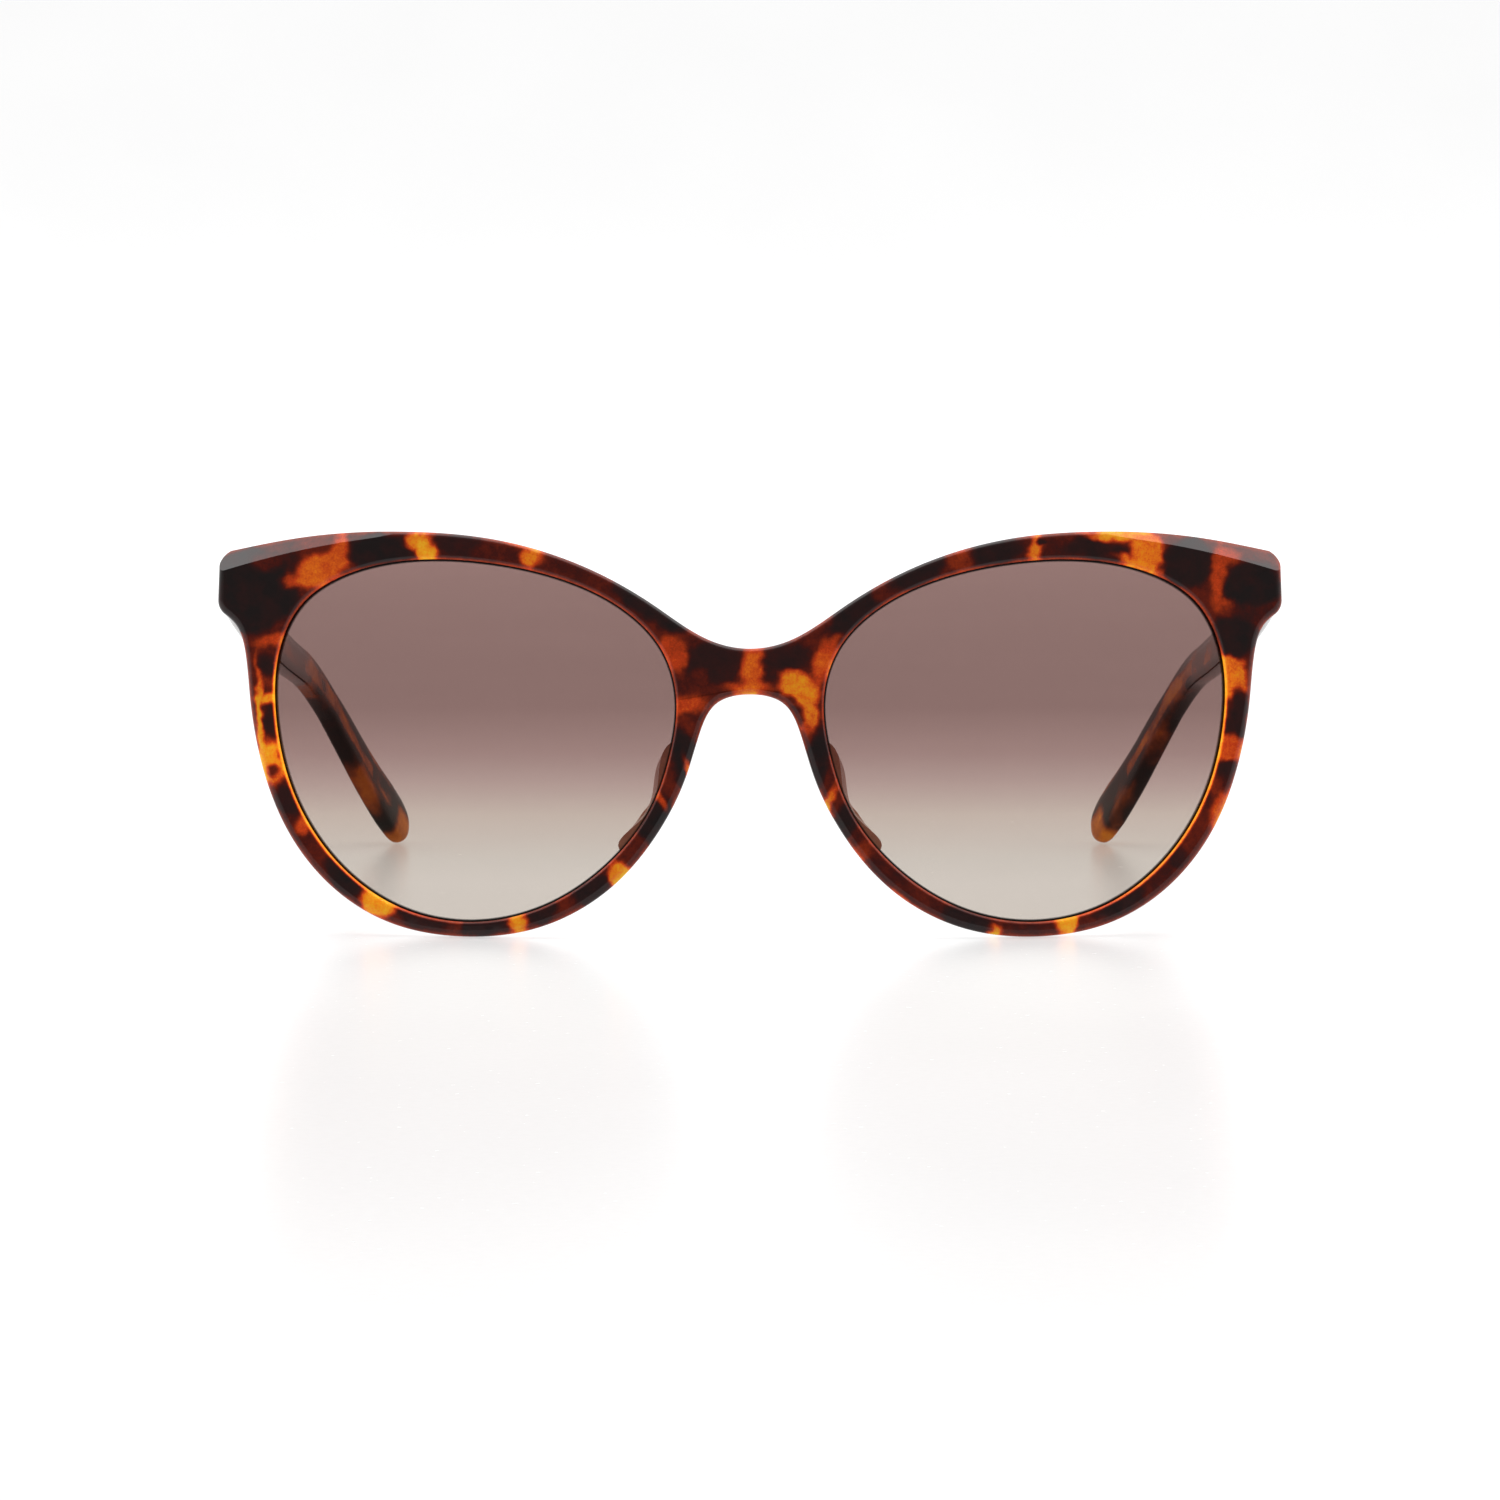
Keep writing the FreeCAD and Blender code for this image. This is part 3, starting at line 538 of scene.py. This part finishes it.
def new_material(name):
    material = bpy.data.materials.new(name)
    material.use_nodes = True
    nodes = material.node_tree.nodes
    links = material.node_tree.links
    return material, nodes, links, nodes["Principled BSDF"]


def math_node(nodes, links, operation, first, second, clamp=False):
    node = nodes.new("ShaderNodeMath")
    node.operation = operation
    node.use_clamp = clamp
    for socket, source in zip(node.inputs, (first, second)):
        if isinstance(source, (int, float)):
            socket.default_value = source
        else:
            links.new(source, socket)
    return node.outputs[0]


def scaled(nodes, links, source, factor, shift):
    """source times factor, plus shift"""
    result = math_node(nodes, links, "MULTIPLY_ADD", source, factor)
    result.node.inputs[2].default_value = shift
    return result


def noise_node(nodes, links, vector, scale, detail=2.0, roughness=0.5):
    node = nodes.new("ShaderNodeTexNoise")
    node.inputs["Scale"].default_value = scale
    node.inputs["Detail"].default_value = detail
    node.inputs["Roughness"].default_value = roughness
    links.new(vector, node.inputs["Vector"])
    return node.outputs["Fac"]


def ramp_node(nodes, links, source, stops):
    node = nodes.new("ShaderNodeValToRGB")
    while len(node.color_ramp.elements) < len(stops):
        node.color_ramp.elements.new(0.5)
    for element, (position, color) in zip(node.color_ramp.elements, stops):
        element.position = position
        element.color = (*color, 1)
    links.new(source, node.inputs["Fac"])
    return node.outputs["Color"]


def attribute_node(nodes, name):
    node = nodes.new("ShaderNodeAttribute")
    node.attribute_name = name
    return node.outputs["Fac"]


def bump_node(nodes, links, height, strength, distance):
    node = nodes.new("ShaderNodeBump")
    node.inputs["Strength"].default_value = strength
    node.inputs["Distance"].default_value = distance
    links.new(height, node.inputs["Height"])
    return node.outputs["Normal"]


# Strengths of the painted glow (emission): carried through the light patches, and piped along the rim's inner
# wall.
CARRIED_LIGHT = 0.26
PIPED_LIGHT = 0.9

TORTOISE_STOPS = [(0.0, (0.016, 0.011, 0.011)), (0.14, (0.040, 0.011, 0.010)), (0.22, (0.075, 0.010, 0.007)),
                  (0.32, (0.17, 0.018, 0.007)), (0.42, (0.34, 0.036, 0.008)), (0.56, (0.66, 0.062, 0.011)),
                  (0.70, (0.88, 0.165, 0.014)), (0.84, (1.0, 0.37, 0.016)), (1.0, (1.0, 0.58, 0.03))]


def tortoise_material(name, stops, grain, see_through, shine):
    """Polished mottled plastic: tone from the mesh, broken up by fine grain inside the light patches."""
    material, nodes, links, shader = new_material(name)
    place = nodes.new("ShaderNodeTexCoord").outputs["Object"]
    tone = attribute_node(nodes, "tone")
    fine = noise_node(nodes, links, place, 3800, 3, 0.6)
    cloud = noise_node(nodes, links, place, 420, 2, 0.5)
    fleck = noise_node(nodes, links, place, 1250, 2, 0.5)
    # The grain and the flecks show in the light patches and fade out in the dark ones.
    fine_shift = math_node(nodes, links, "MULTIPLY", scaled(nodes, links, fine, grain, -0.5 * grain),
                           math_node(nodes, links, "ADD", tone, 0.15))
    fleck_shift = math_node(nodes, links, "MULTIPLY", scaled(nodes, links, fleck, 0.24, -0.12),
                            math_node(nodes, links, "ADD", tone, 0.12))
    cloud_shift = scaled(nodes, links, cloud, 0.22, -0.11)
    drifted = math_node(nodes, links, "ADD", cloud_shift, fleck_shift)
    total = math_node(nodes, links, "ADD", math_node(nodes, links, "ADD", tone, fine_shift), drifted, True)
    color = ramp_node(nodes, links, total, stops)
    links.new(color, shader.inputs["Base Color"])
    links.new(scaled(nodes, links, cloud, 0.05, 0.03), shader.inputs["Roughness"])
    shader.inputs["IOR"].default_value = 1.48
    shader.inputs["Specular IOR Level"].default_value = shine
    ripple = noise_node(nodes, links, place, 260, 2, 0.5)
    links.new(bump_node(nodes, links, ripple, 0.08, 0.0002), shader.inputs["Normal"])
    # Painted glow: emission stands in for light that has travelled inside the plastic, which shows most in
    # the amber and on the rim's inner wall.
    squared = math_node(nodes, links, "POWER", total, 2.0)
    carried = math_node(nodes, links, "MULTIPLY", squared, CARRIED_LIGHT)
    piped = math_node(nodes, links, "MULTIPLY", attribute_node(nodes, "glow"), PIPED_LIGHT)
    links.new(color, shader.inputs["Emission Color"])
    links.new(math_node(nodes, links, "ADD", carried, piped), shader.inputs["Emission Strength"])
    glow = nodes.new("ShaderNodeBsdfTranslucent")
    links.new(color, glow.inputs["Color"])
    mix = nodes.new("ShaderNodeMixShader")
    share = math_node(nodes, links, "MULTIPLY", total, see_through, True)
    links.new(share, mix.inputs["Fac"])
    links.new(shader.outputs[0], mix.inputs[1])
    links.new(glow.outputs[0], mix.inputs[2])
    links.new(mix.outputs[0], nodes["Material Output"].inputs["Surface"])
    return material


# Tint by height on the lens, in millimetres above the rim's lowest point.
LENS_TINT = [(7, (0.55, 0.50, 0.45)), (10, (0.52, 0.47, 0.42)), (16, (0.46, 0.38, 0.33)),
             (20, (0.37, 0.27, 0.245)), (24, (0.29, 0.19, 0.175)), (30, (0.22, 0.136, 0.125))]
HEAD_ON_GLOSS = 0.017


def lens_material():
    """Thin tinted film on each face of the lens: half of the tint is taken at each face."""
    material, nodes, links, shader = new_material("lens_gradient")
    height = attribute_node(nodes, "height")
    place = nodes.new("ShaderNodeTexCoord").outputs["Object"]
    drift = noise_node(nodes, links, place, 60, 2, 0.4)
    drift = scaled(nodes, links, drift, 0.012, -0.006)
    where = math_node(nodes, links, "ADD", math_node(nodes, links, "DIVIDE", height, 50.0), drift)
    stops = [(level / 50, tuple(math.sqrt(channel) for channel in color)) for level, color in LENS_TINT]
    tint = ramp_node(nodes, links, where, stops)
    # Dark band of painted shade along the lens's rim, where the groove shades the edge.
    edge = attribute_node(nodes, "edge")
    darken = nodes.new("ShaderNodeMix")
    darken.data_type = "RGBA"
    links.new(edge, darken.inputs["Factor"])
    links.new(tint, darken.inputs["A"])
    darken.inputs["B"].default_value = (0.02, 0.018, 0.017, 1)
    film = nodes.new("ShaderNodeBsdfTransparent")
    links.new(darken.outputs["Result"], film.inputs["Color"])
    gloss = nodes.new("ShaderNodeBsdfGlossy")
    smear = noise_node(nodes, links, place, 180, 3, 0.5)
    links.new(scaled(nodes, links, smear, 0.03, 0.01), gloss.inputs["Roughness"])
    links.new(bump_node(nodes, links, smear, 0.01, 0.0001), gloss.inputs["Normal"])
    # Gloss grows towards grazing angles in the same way on both faces. A Fresnel node would turn the
    # back face into a full mirror, because the film doesn't bend light.
    facing = nodes.new("ShaderNodeLayerWeight")
    facing.inputs["Blend"].default_value = 0.5
    grazing = math_node(nodes, links, "POWER", facing.outputs["Facing"], 5.0)
    mirror_share = scaled(nodes, links, grazing, 1 - HEAD_ON_GLOSS, HEAD_ON_GLOSS)
    mix = nodes.new("ShaderNodeMixShader")
    links.new(mirror_share, mix.inputs["Fac"])
    links.new(film.outputs[0], mix.inputs[1])
    links.new(gloss.outputs[0], mix.inputs[2])
    links.new(mix.outputs[0], nodes["Material Output"].inputs["Surface"])
    nodes.remove(shader)
    return material


def metal_material(name, color, roughness, brushed_scale):
    material, nodes, links, shader = new_material(name)
    place = nodes.new("ShaderNodeTexCoord").outputs["Object"]
    stretch = nodes.new("ShaderNodeMapping")
    stretch.inputs["Scale"].default_value = (1.0, 6.0, 1.0)
    links.new(place, stretch.inputs["Vector"])
    grain = noise_node(nodes, links, stretch.outputs[0], brushed_scale, 3, 0.6)
    dark = tuple(channel * 0.72 for channel in color)
    links.new(ramp_node(nodes, links, grain, [(0.3, dark), (0.7, color)]), shader.inputs["Base Color"])
    links.new(scaled(nodes, links, grain, 0.18, roughness), shader.inputs["Roughness"])
    shader.inputs["Metallic"].default_value = 1.0
    links.new(bump_node(nodes, links, grain, 0.15, 0.00003), shader.inputs["Normal"])
    return material


# ---------------------------------------------------------------- lenses

def build_lens(name, sign, material):
    """Curved shell with both faces and its edge, in the groove. height drives the tint, and edge a dark band
    of painted groove shade along the rim.
    """
    loop = spline(APERTURE, 360, closed=True)
    normals = inward_normals(np.vstack([loop, loop[:1]]))[:-1]
    radial = loop - np.array(LENS_CENTRE)
    normals *= np.sign((normals * radial).sum(axis=1))[:, None]
    rim = loop + normals * (GROOVE - 0.05)
    centre = np.array(LENS_CENTRE)
    rings = [centre + (loop - centre) * share for share in np.linspace(0.04, 1.0, 26) ** 0.8]
    rings = rings[:-1] + [loop - normals * 0.32, loop - normals * 0.16, loop, rim]
    vertices = []
    height = []
    edge = []
    # Painted groove shade by ring: the outermost rings, in the groove, are darkened.
    groove_shade = [0.0] * (len(rings) - 4) + [0.0, 0.85, 1.0, 1.0]
    for depth, order in ((LENS_FRONT, range(len(rings))), (LENS_BACK, reversed(range(len(rings))))):
        for index in order:
            vertices.extend((x, face_y(x, depth), z) for x, z in rings[index])
            height.extend(rings[index][:, 1])
            edge.extend([groove_shade[index]] * len(loop))
    faces = grid_faces(2 * len(rings), len(loop))
    faces.append(tuple(range(len(loop))))
    faces.append(tuple(range(len(vertices) - len(loop), len(vertices))))
    placed = rest(np.array(vertices) * np.array([sign, 1, 1]))
    lens = make_object(name, placed, faces, material, join=False)
    write_tone(lens, "height", height)
    write_tone(lens, "edge", edge)
    return lens


# ---------------------------------------------------------------- nose pads

PAD_TONE = 0.5
# PAD_GLOW is painted light: emission that lifts the pads out of the shade they sit in behind the rim.
PAD_GLOW = 0.42


def build_pad(name, sign, material):
    """Solid through the pad's sections, blended smoothly, with its free edge rounded."""
    around = 72
    levels = np.linspace(0, 1, 18)
    loops = [spline(points, around, closed=True) for _, points in PAD_SECTIONS]
    depths = [depth for depth, _ in PAD_SECTIONS]
    vertices = []
    for level in levels:
        first, second, third = (1 - level) * (1 - 2 * level), 4 * level * (1 - level), level * (2 * level - 1)
        points = loops[0] * first + loops[1] * second + loops[2] * third
        depth = depths[0] + (depths[2] - depths[0]) * level
        centre = points.mean(axis=0)
        rounding = 1 - 0.3 * max(0.0, (level - 0.86) / 0.14) ** 2
        points = centre + (points - centre) * rounding
        vertices.extend((x, depth, z) for x, z in points)
    faces = grid_faces(len(levels), around)
    faces.append(tuple(range(around)))
    faces.append(tuple(range(len(vertices) - around, len(vertices))))
    upright = np.array(vertices) * np.array([sign, 1, 1])
    return make_object(name, rest(upright), faces, material, 50)


# ---------------------------------------------------------------- temples

TEMPLE_START = (68.5, BUTT_PLANE + TEMPLE_GAP, 46.0)
TEMPLE_SLOPE = math.radians(6.33)
TEMPLE_SHAFT = 91.5
BEND_RADIUS = 49.0
BEND_ANGLE = math.radians(37.5)
TEMPLE_TAIL = 18.7
TEMPLE_LENGTH = TEMPLE_SHAFT + BEND_RADIUS * BEND_ANGLE + TEMPLE_TAIL
# (distance along the temple, height, thickness) of its section
TEMPLE_SIZES = [(0, 7.4, 4.0), (12, 7.0, 4.0), (32, 6.5, 3.9), (60, 6.0, 3.5), (88, 5.3, 3.3),
                (100, 5.3, 3.2), (111, 5.3, 3.2), (122, 7.0, 3.2), (TEMPLE_LENGTH - 6.5, 8.8, 3.2),
                (TEMPLE_LENGTH, 8.8, 3.1)]
WIRE_END = 128.5


def inward_rate(along):
    if along < TEMPLE_SHAFT:
        return -0.04 + 0.104 * (along / TEMPLE_SHAFT) ** 1.5
    return 0.064 + 0.386 * (along - TEMPLE_SHAFT) / (TEMPLE_LENGTH - TEMPLE_SHAFT)


def drop_angle(along):
    return TEMPLE_SLOPE + min(max((along - TEMPLE_SHAFT) / BEND_RADIUS, 0), BEND_ANGLE)


def build_temple(name, sign, material):
    """Rounded bar along the temple's line, flat at the hinge end and rounded at the tip."""
    around = 48
    count = 420
    fine = np.linspace(0, TEMPLE_LENGTH, 2401)
    middles = (fine[1:] + fine[:-1]) / 2
    step = fine[1] - fine[0]

    def travelled(rates):
        return np.concatenate([[0], np.cumsum([rate * step for rate in rates])])

    side = TEMPLE_START[0] - travelled([inward_rate(s) for s in middles])
    back = TEMPLE_START[1] + travelled([math.cos(drop_angle(s)) for s in middles])
    height = TEMPLE_START[2] - travelled([math.sin(drop_angle(s)) for s in middles])
    tip_radius = 3.9
    last = TEMPLE_LENGTH - 0.05
    body = np.linspace(0, last - tip_radius, count - 40)
    tip = last - tip_radius + tip_radius * np.sin(np.linspace(0, math.pi / 2, 42)[1:])
    stations = np.concatenate([[0.0, 0.02, 0.12, 0.3], body[2:], tip])
    turns = np.linspace(0, 2 * math.pi, around, endpoint=False)
    sizes = np.array(TEMPLE_SIZES)
    vertices = []
    where = []
    profile = []
    for along in stations:
        centre = np.array([np.interp(along, fine, line) for line in (side, back, height)])
        # The first section is square to Y, so that the temple closes flat against the end piece.
        settle = min(along / 8.0, 1.0)
        angle = drop_angle(along) * settle
        tangent = np.array([-inward_rate(along) * settle, math.cos(angle), -math.sin(angle)])
        tangent /= np.linalg.norm(tangent)
        up = np.array([0, math.sin(angle), math.cos(angle)])
        across = np.cross(tangent, up)
        tall = np.interp(along, sizes[:, 0], sizes[:, 1])
        thick = np.interp(along, sizes[:, 0], sizes[:, 2]) - 0.06
        if along < 0.3:
            shrink = 0.3 * (1 - math.sqrt(max(0.0, 1 - (1 - along / 0.3) ** 2)))
            tall -= 2 * shrink
            thick -= 2 * shrink
        from_end = last - along
        if from_end < tip_radius:
            share = math.sqrt(max(1e-4, 1 - (1 - from_end / tip_radius) ** 2))
            tall *= 0.12 + 0.88 * share
            flank = math.sqrt(max(1e-4, 1 - (1 - min(from_end / 1.7, 1.0)) ** 2))
            thick *= 0.35 + 0.65 * min(1.0, flank)
        power = 2 / (2.3 + 1.3 * min(1.0, max(0.0, from_end / 7.0)))
        for turn in turns:
            cosine, sine = math.cos(turn), math.sin(turn)
            x = math.copysign(abs(cosine) ** power, cosine) * thick / 2
            y = math.copysign(abs(sine) ** power, sine) * tall / 2
            vertices.append(centre + across * x + up * y)
            where.append(along)
            profile.append((x, y))
    faces = grid_faces(len(stations), around)
    faces.append(tuple(range(around)))
    faces.append(tuple(range(len(vertices) - around, len(vertices))))
    upright = np.array(vertices) * np.array([sign, 1, 1])
    temple = make_object(name, rest(upright), faces, material, join=False)
    write_tone(temple, "tone", temple_tone(np.array(where), np.array(profile), sign))
    return temple


def temple_tone(where, profile, sign):
    """Dark mottling in long streaks, with the core wire showing as a paler stripe on the inner side."""
    tone = np.empty(len(where))
    for index, (along, (x, y)) in enumerate(zip(where, profile)):
        place = Vector((along * 0.09, y * 0.26, sign * 7.0 + x * 0.15))
        cloud = noise.fractal(place, 1.0, 2.0, 3)
        tone[index] = 0.17 + 0.62 * cloud
    tone = np.clip(tone, 0.04, 0.50) * (0.35 + 0.65 * smooth_step((where - 50) / 50))
    # The core wire's stripe runs along the side that faces the head, from the hinge to the wire's end.
    inner = smooth_step((-profile[:, 0] - 0.4) / 0.5)
    stripe = smooth_step((1.35 - np.abs(profile[:, 1] + 0.3)) / 0.3) * inner
    stripe *= smooth_step((WIRE_END - where) / 0.6) * smooth_step((where - 9.0) / 2.0)
    tone += stripe * 0.24
    # An amber patch covers the underside of the tip.
    near_tip = smooth_step((where - (TEMPLE_LENGTH - 6.0)) / 2.2)
    tone += near_tip * smooth_step((2.6 - profile[:, 1]) / 2.5) * 0.52
    return np.clip(tone, 0.02, 0.85)


# ---------------------------------------------------------------- assembly

tortoise_front = tortoise_material("tortoise_front", TORTOISE_STOPS, 0.34, 0.35, 0.31)
temple_stops = [(0.0, (0.014, 0.011, 0.010)), (0.15, (0.035, 0.013, 0.009)), (0.28, (0.12, 0.028, 0.010)),
                (0.45, (0.38, 0.085, 0.014)), (0.7, (0.80, 0.24, 0.02)), (1.0, (1.0, 0.45, 0.04))]
tortoise_temple = tortoise_material("tortoise_temple", temple_stops, 0.20, 0.25, 0.14)
pad_stops = [(0.0, (0.20, 0.050, 0.030)), (0.4, (0.42, 0.18, 0.12)), (0.6, (0.60, 0.34, 0.25)),
             (1.0, (0.85, 0.60, 0.46))]
pad_plastic = tortoise_material("tortoise_pad", pad_stops, 0.25, 1.2, 0.3)
lens_gradient = lens_material()
hinge_metal = metal_material("hinge_nickel", (0.74, 0.71, 0.66), 0.26, 900)
screw_metal = metal_material("screw_steel", (0.80, 0.79, 0.77), 0.18, 1400)
wire_metal = metal_material("core_wire_nickel", (0.76, 0.70, 0.60), 0.30, 700)

front = build_front(tortoise_front)
front_upright = finish_front(front)
front_edge, front_wall = edge_glow(front_upright)
# tone carries painted light along the outer edge and on the inner wall; glow drives the painted glow
# (emission) on the wall.
write_tone(front, "tone", lit_tone(patch_tone(front_upright), front_edge, front_wall))
write_tone(front, "glow", front_wall)
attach(front, "front")
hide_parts("front_frame")

for label, sign in (("left", 1), ("right", -1)):
    lens = build_lens("lens_" + label + "_view", sign, lens_gradient)
    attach(lens, "front")
    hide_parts("lens_" + label)
    pad = build_pad("nose_pad_" + label + "_view", sign, pad_plastic)
    write_tone(pad, "tone", np.full(len(pad.data.vertices), PAD_TONE))
    write_tone(pad, "glow", np.full(len(pad.data.vertices), PAD_GLOW))
    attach(pad, "front")
    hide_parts("nose_pad_" + label)
    temple = build_temple("temple_" + label + "_view", sign, tortoise_temple)
    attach(temple, label + "_temple")
    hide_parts("temple_" + label)

for word, metal in (("core_wire", wire_metal), ("hinge", hinge_metal), ("hinge_screw", screw_metal)):
    for node_name, node in frame["nodes"].items():
        if word in node_name:
            node.data.materials.clear()
            node.data.materials.append(metal)

# ---------------------------------------------------------------- setting

FLOOR_GLOW = 0.54
WALL_GLOW = 0.25                             # added to it on the wall


def backdrop_material():
    """White paper that gives off most of its own light, so that shadows stay faint."""
    material, nodes, links, shader = new_material("white_paper")
    place = nodes.new("ShaderNodeTexCoord").outputs["Object"]
    cloud = noise_node(nodes, links, place, 9, 3, 0.5)
    color = ramp_node(nodes, links, cloud, [(0.3, (0.30, 0.30, 0.30)), (0.7, (0.33, 0.33, 0.33))])
    links.new(color, shader.inputs["Base Color"])
    grain = noise_node(nodes, links, place, 900, 2, 0.5)
    links.new(bump_node(nodes, links, grain, 0.02, 0.0001), shader.inputs["Normal"])
    links.new(scaled(nodes, links, grain, 0.1, 0.2), shader.inputs["Roughness"])
    shader.inputs["Specular IOR Level"].default_value = 0.3
    shader.inputs["Emission Color"].default_value = (1, 1, 1, 1)
    own_light = math_node(nodes, links, "ADD", attribute_node(nodes, "wall"), FLOOR_GLOW)
    links.new(own_light, shader.inputs["Emission Strength"])
    return material


def build_backdrop(material, ground):
    """Floor that curves up into a wall behind the object."""
    bend = 0.6
    wall_at = 2.2
    profile = [(-3.0, 0.0), (-1.0, 0.0), (0.0, 0.0), (0.6, 0.0), (1.1, 0.0), (wall_at - bend, 0.0)]
    for turn in np.linspace(0, math.pi / 2, 25)[1:]:
        profile.append((wall_at - bend + bend * math.sin(turn), bend - bend * math.cos(turn)))
    profile.append((wall_at, 2.4))
    across = np.linspace(-4, 4, 9)
    vertices = [(x, y, ground + z) for y, z in profile for x in across]
    faces = grid_faces(len(profile), len(across), closed=False)
    backdrop = make_object("backdrop", vertices, faces, material)
    behind = np.array([vertex.co.y for vertex in backdrop.data.vertices])
    write_tone(backdrop, "wall", WALL_GLOW * np.clip(behind - 0.6, 0, 1))
    return backdrop


lowest = START_BOUNDS[0]
build_backdrop(backdrop_material(), float(lowest[2]) - 0.00002)


def area_light(name, place, target, size, power):
    lamp_data = bpy.data.lights.new(name, "AREA")
    lamp_data.shape = "RECTANGLE"
    lamp_data.size, lamp_data.size_y = size
    lamp_data.energy = power
    lamp = bpy.data.objects.new(name, lamp_data)
    bpy.context.scene.collection.objects.link(lamp)
    lamp.location = place
    lamp.rotation_euler = (Vector(target) - Vector(place)).to_track_quat("-Z", "Y").to_euler()


area_light("overhead_softbox", (0, 0.15, 1.1), (0, 0, 0.02), (2.5, 1.1), 17.6)
area_light("left_softbox", (-0.9, -0.2, 0.45), (0, 0, 0.02), (0.4, 0.7), 1.6)
area_light("right_softbox", (0.9, -0.2, 0.45), (0, 0, 0.02), (0.4, 0.7), 1.6)

world = bpy.data.worlds.new("studio")
bpy.context.scene.world = world
world.use_nodes = True
world_nodes = world.node_tree.nodes
world_links = world.node_tree.links
direction = world_nodes.new("ShaderNodeTexCoord").outputs["Generated"]
split = world_nodes.new("ShaderNodeSeparateXYZ")
world_links.new(direction, split.inputs[0])
fall_off = world_nodes.new("ShaderNodeMapRange")
fall_off.inputs["From Min"].default_value = -0.75
fall_off.inputs["From Max"].default_value = 0.3
fall_off.inputs["To Min"].default_value = 0.13
fall_off.inputs["To Max"].default_value = 0.8
world_links.new(split.outputs["Y"], fall_off.inputs["Value"])
world_links.new(fall_off.outputs[0], world_nodes["Background"].inputs["Strength"])
world_nodes["Background"].inputs["Color"].default_value = (1, 1, 1, 1)

# ---------------------------------------------------------------- camera

CAMERA_DISTANCE = 0.650                      # in front of the bridge
CAMERA_HEIGHT = 0.0695
AIM_HEIGHT = 0.0248
FRAME_WIDTH = 0.195                          # width of the picture at the bridge
SENSOR = 36                                  # millimetres
bridge_front = rest([(0, 0, 26)])[0]
camera_data = bpy.data.cameras.new("camera")
camera_data.sensor_width = SENSOR
camera_data.lens = SENSOR * CAMERA_DISTANCE / FRAME_WIDTH
camera = bpy.data.objects.new("camera", camera_data)
bpy.context.scene.collection.objects.link(camera)
camera.location = (0, float(bridge_front[1]) - CAMERA_DISTANCE, CAMERA_HEIGHT)
aim = Vector((0, float(bridge_front[1]), AIM_HEIGHT))
camera.rotation_euler = (aim - camera.location).to_track_quat("-Z", "Y").to_euler()
bpy.context.scene.camera = camera
bpy.context.scene.view_settings.view_transform = "Standard"
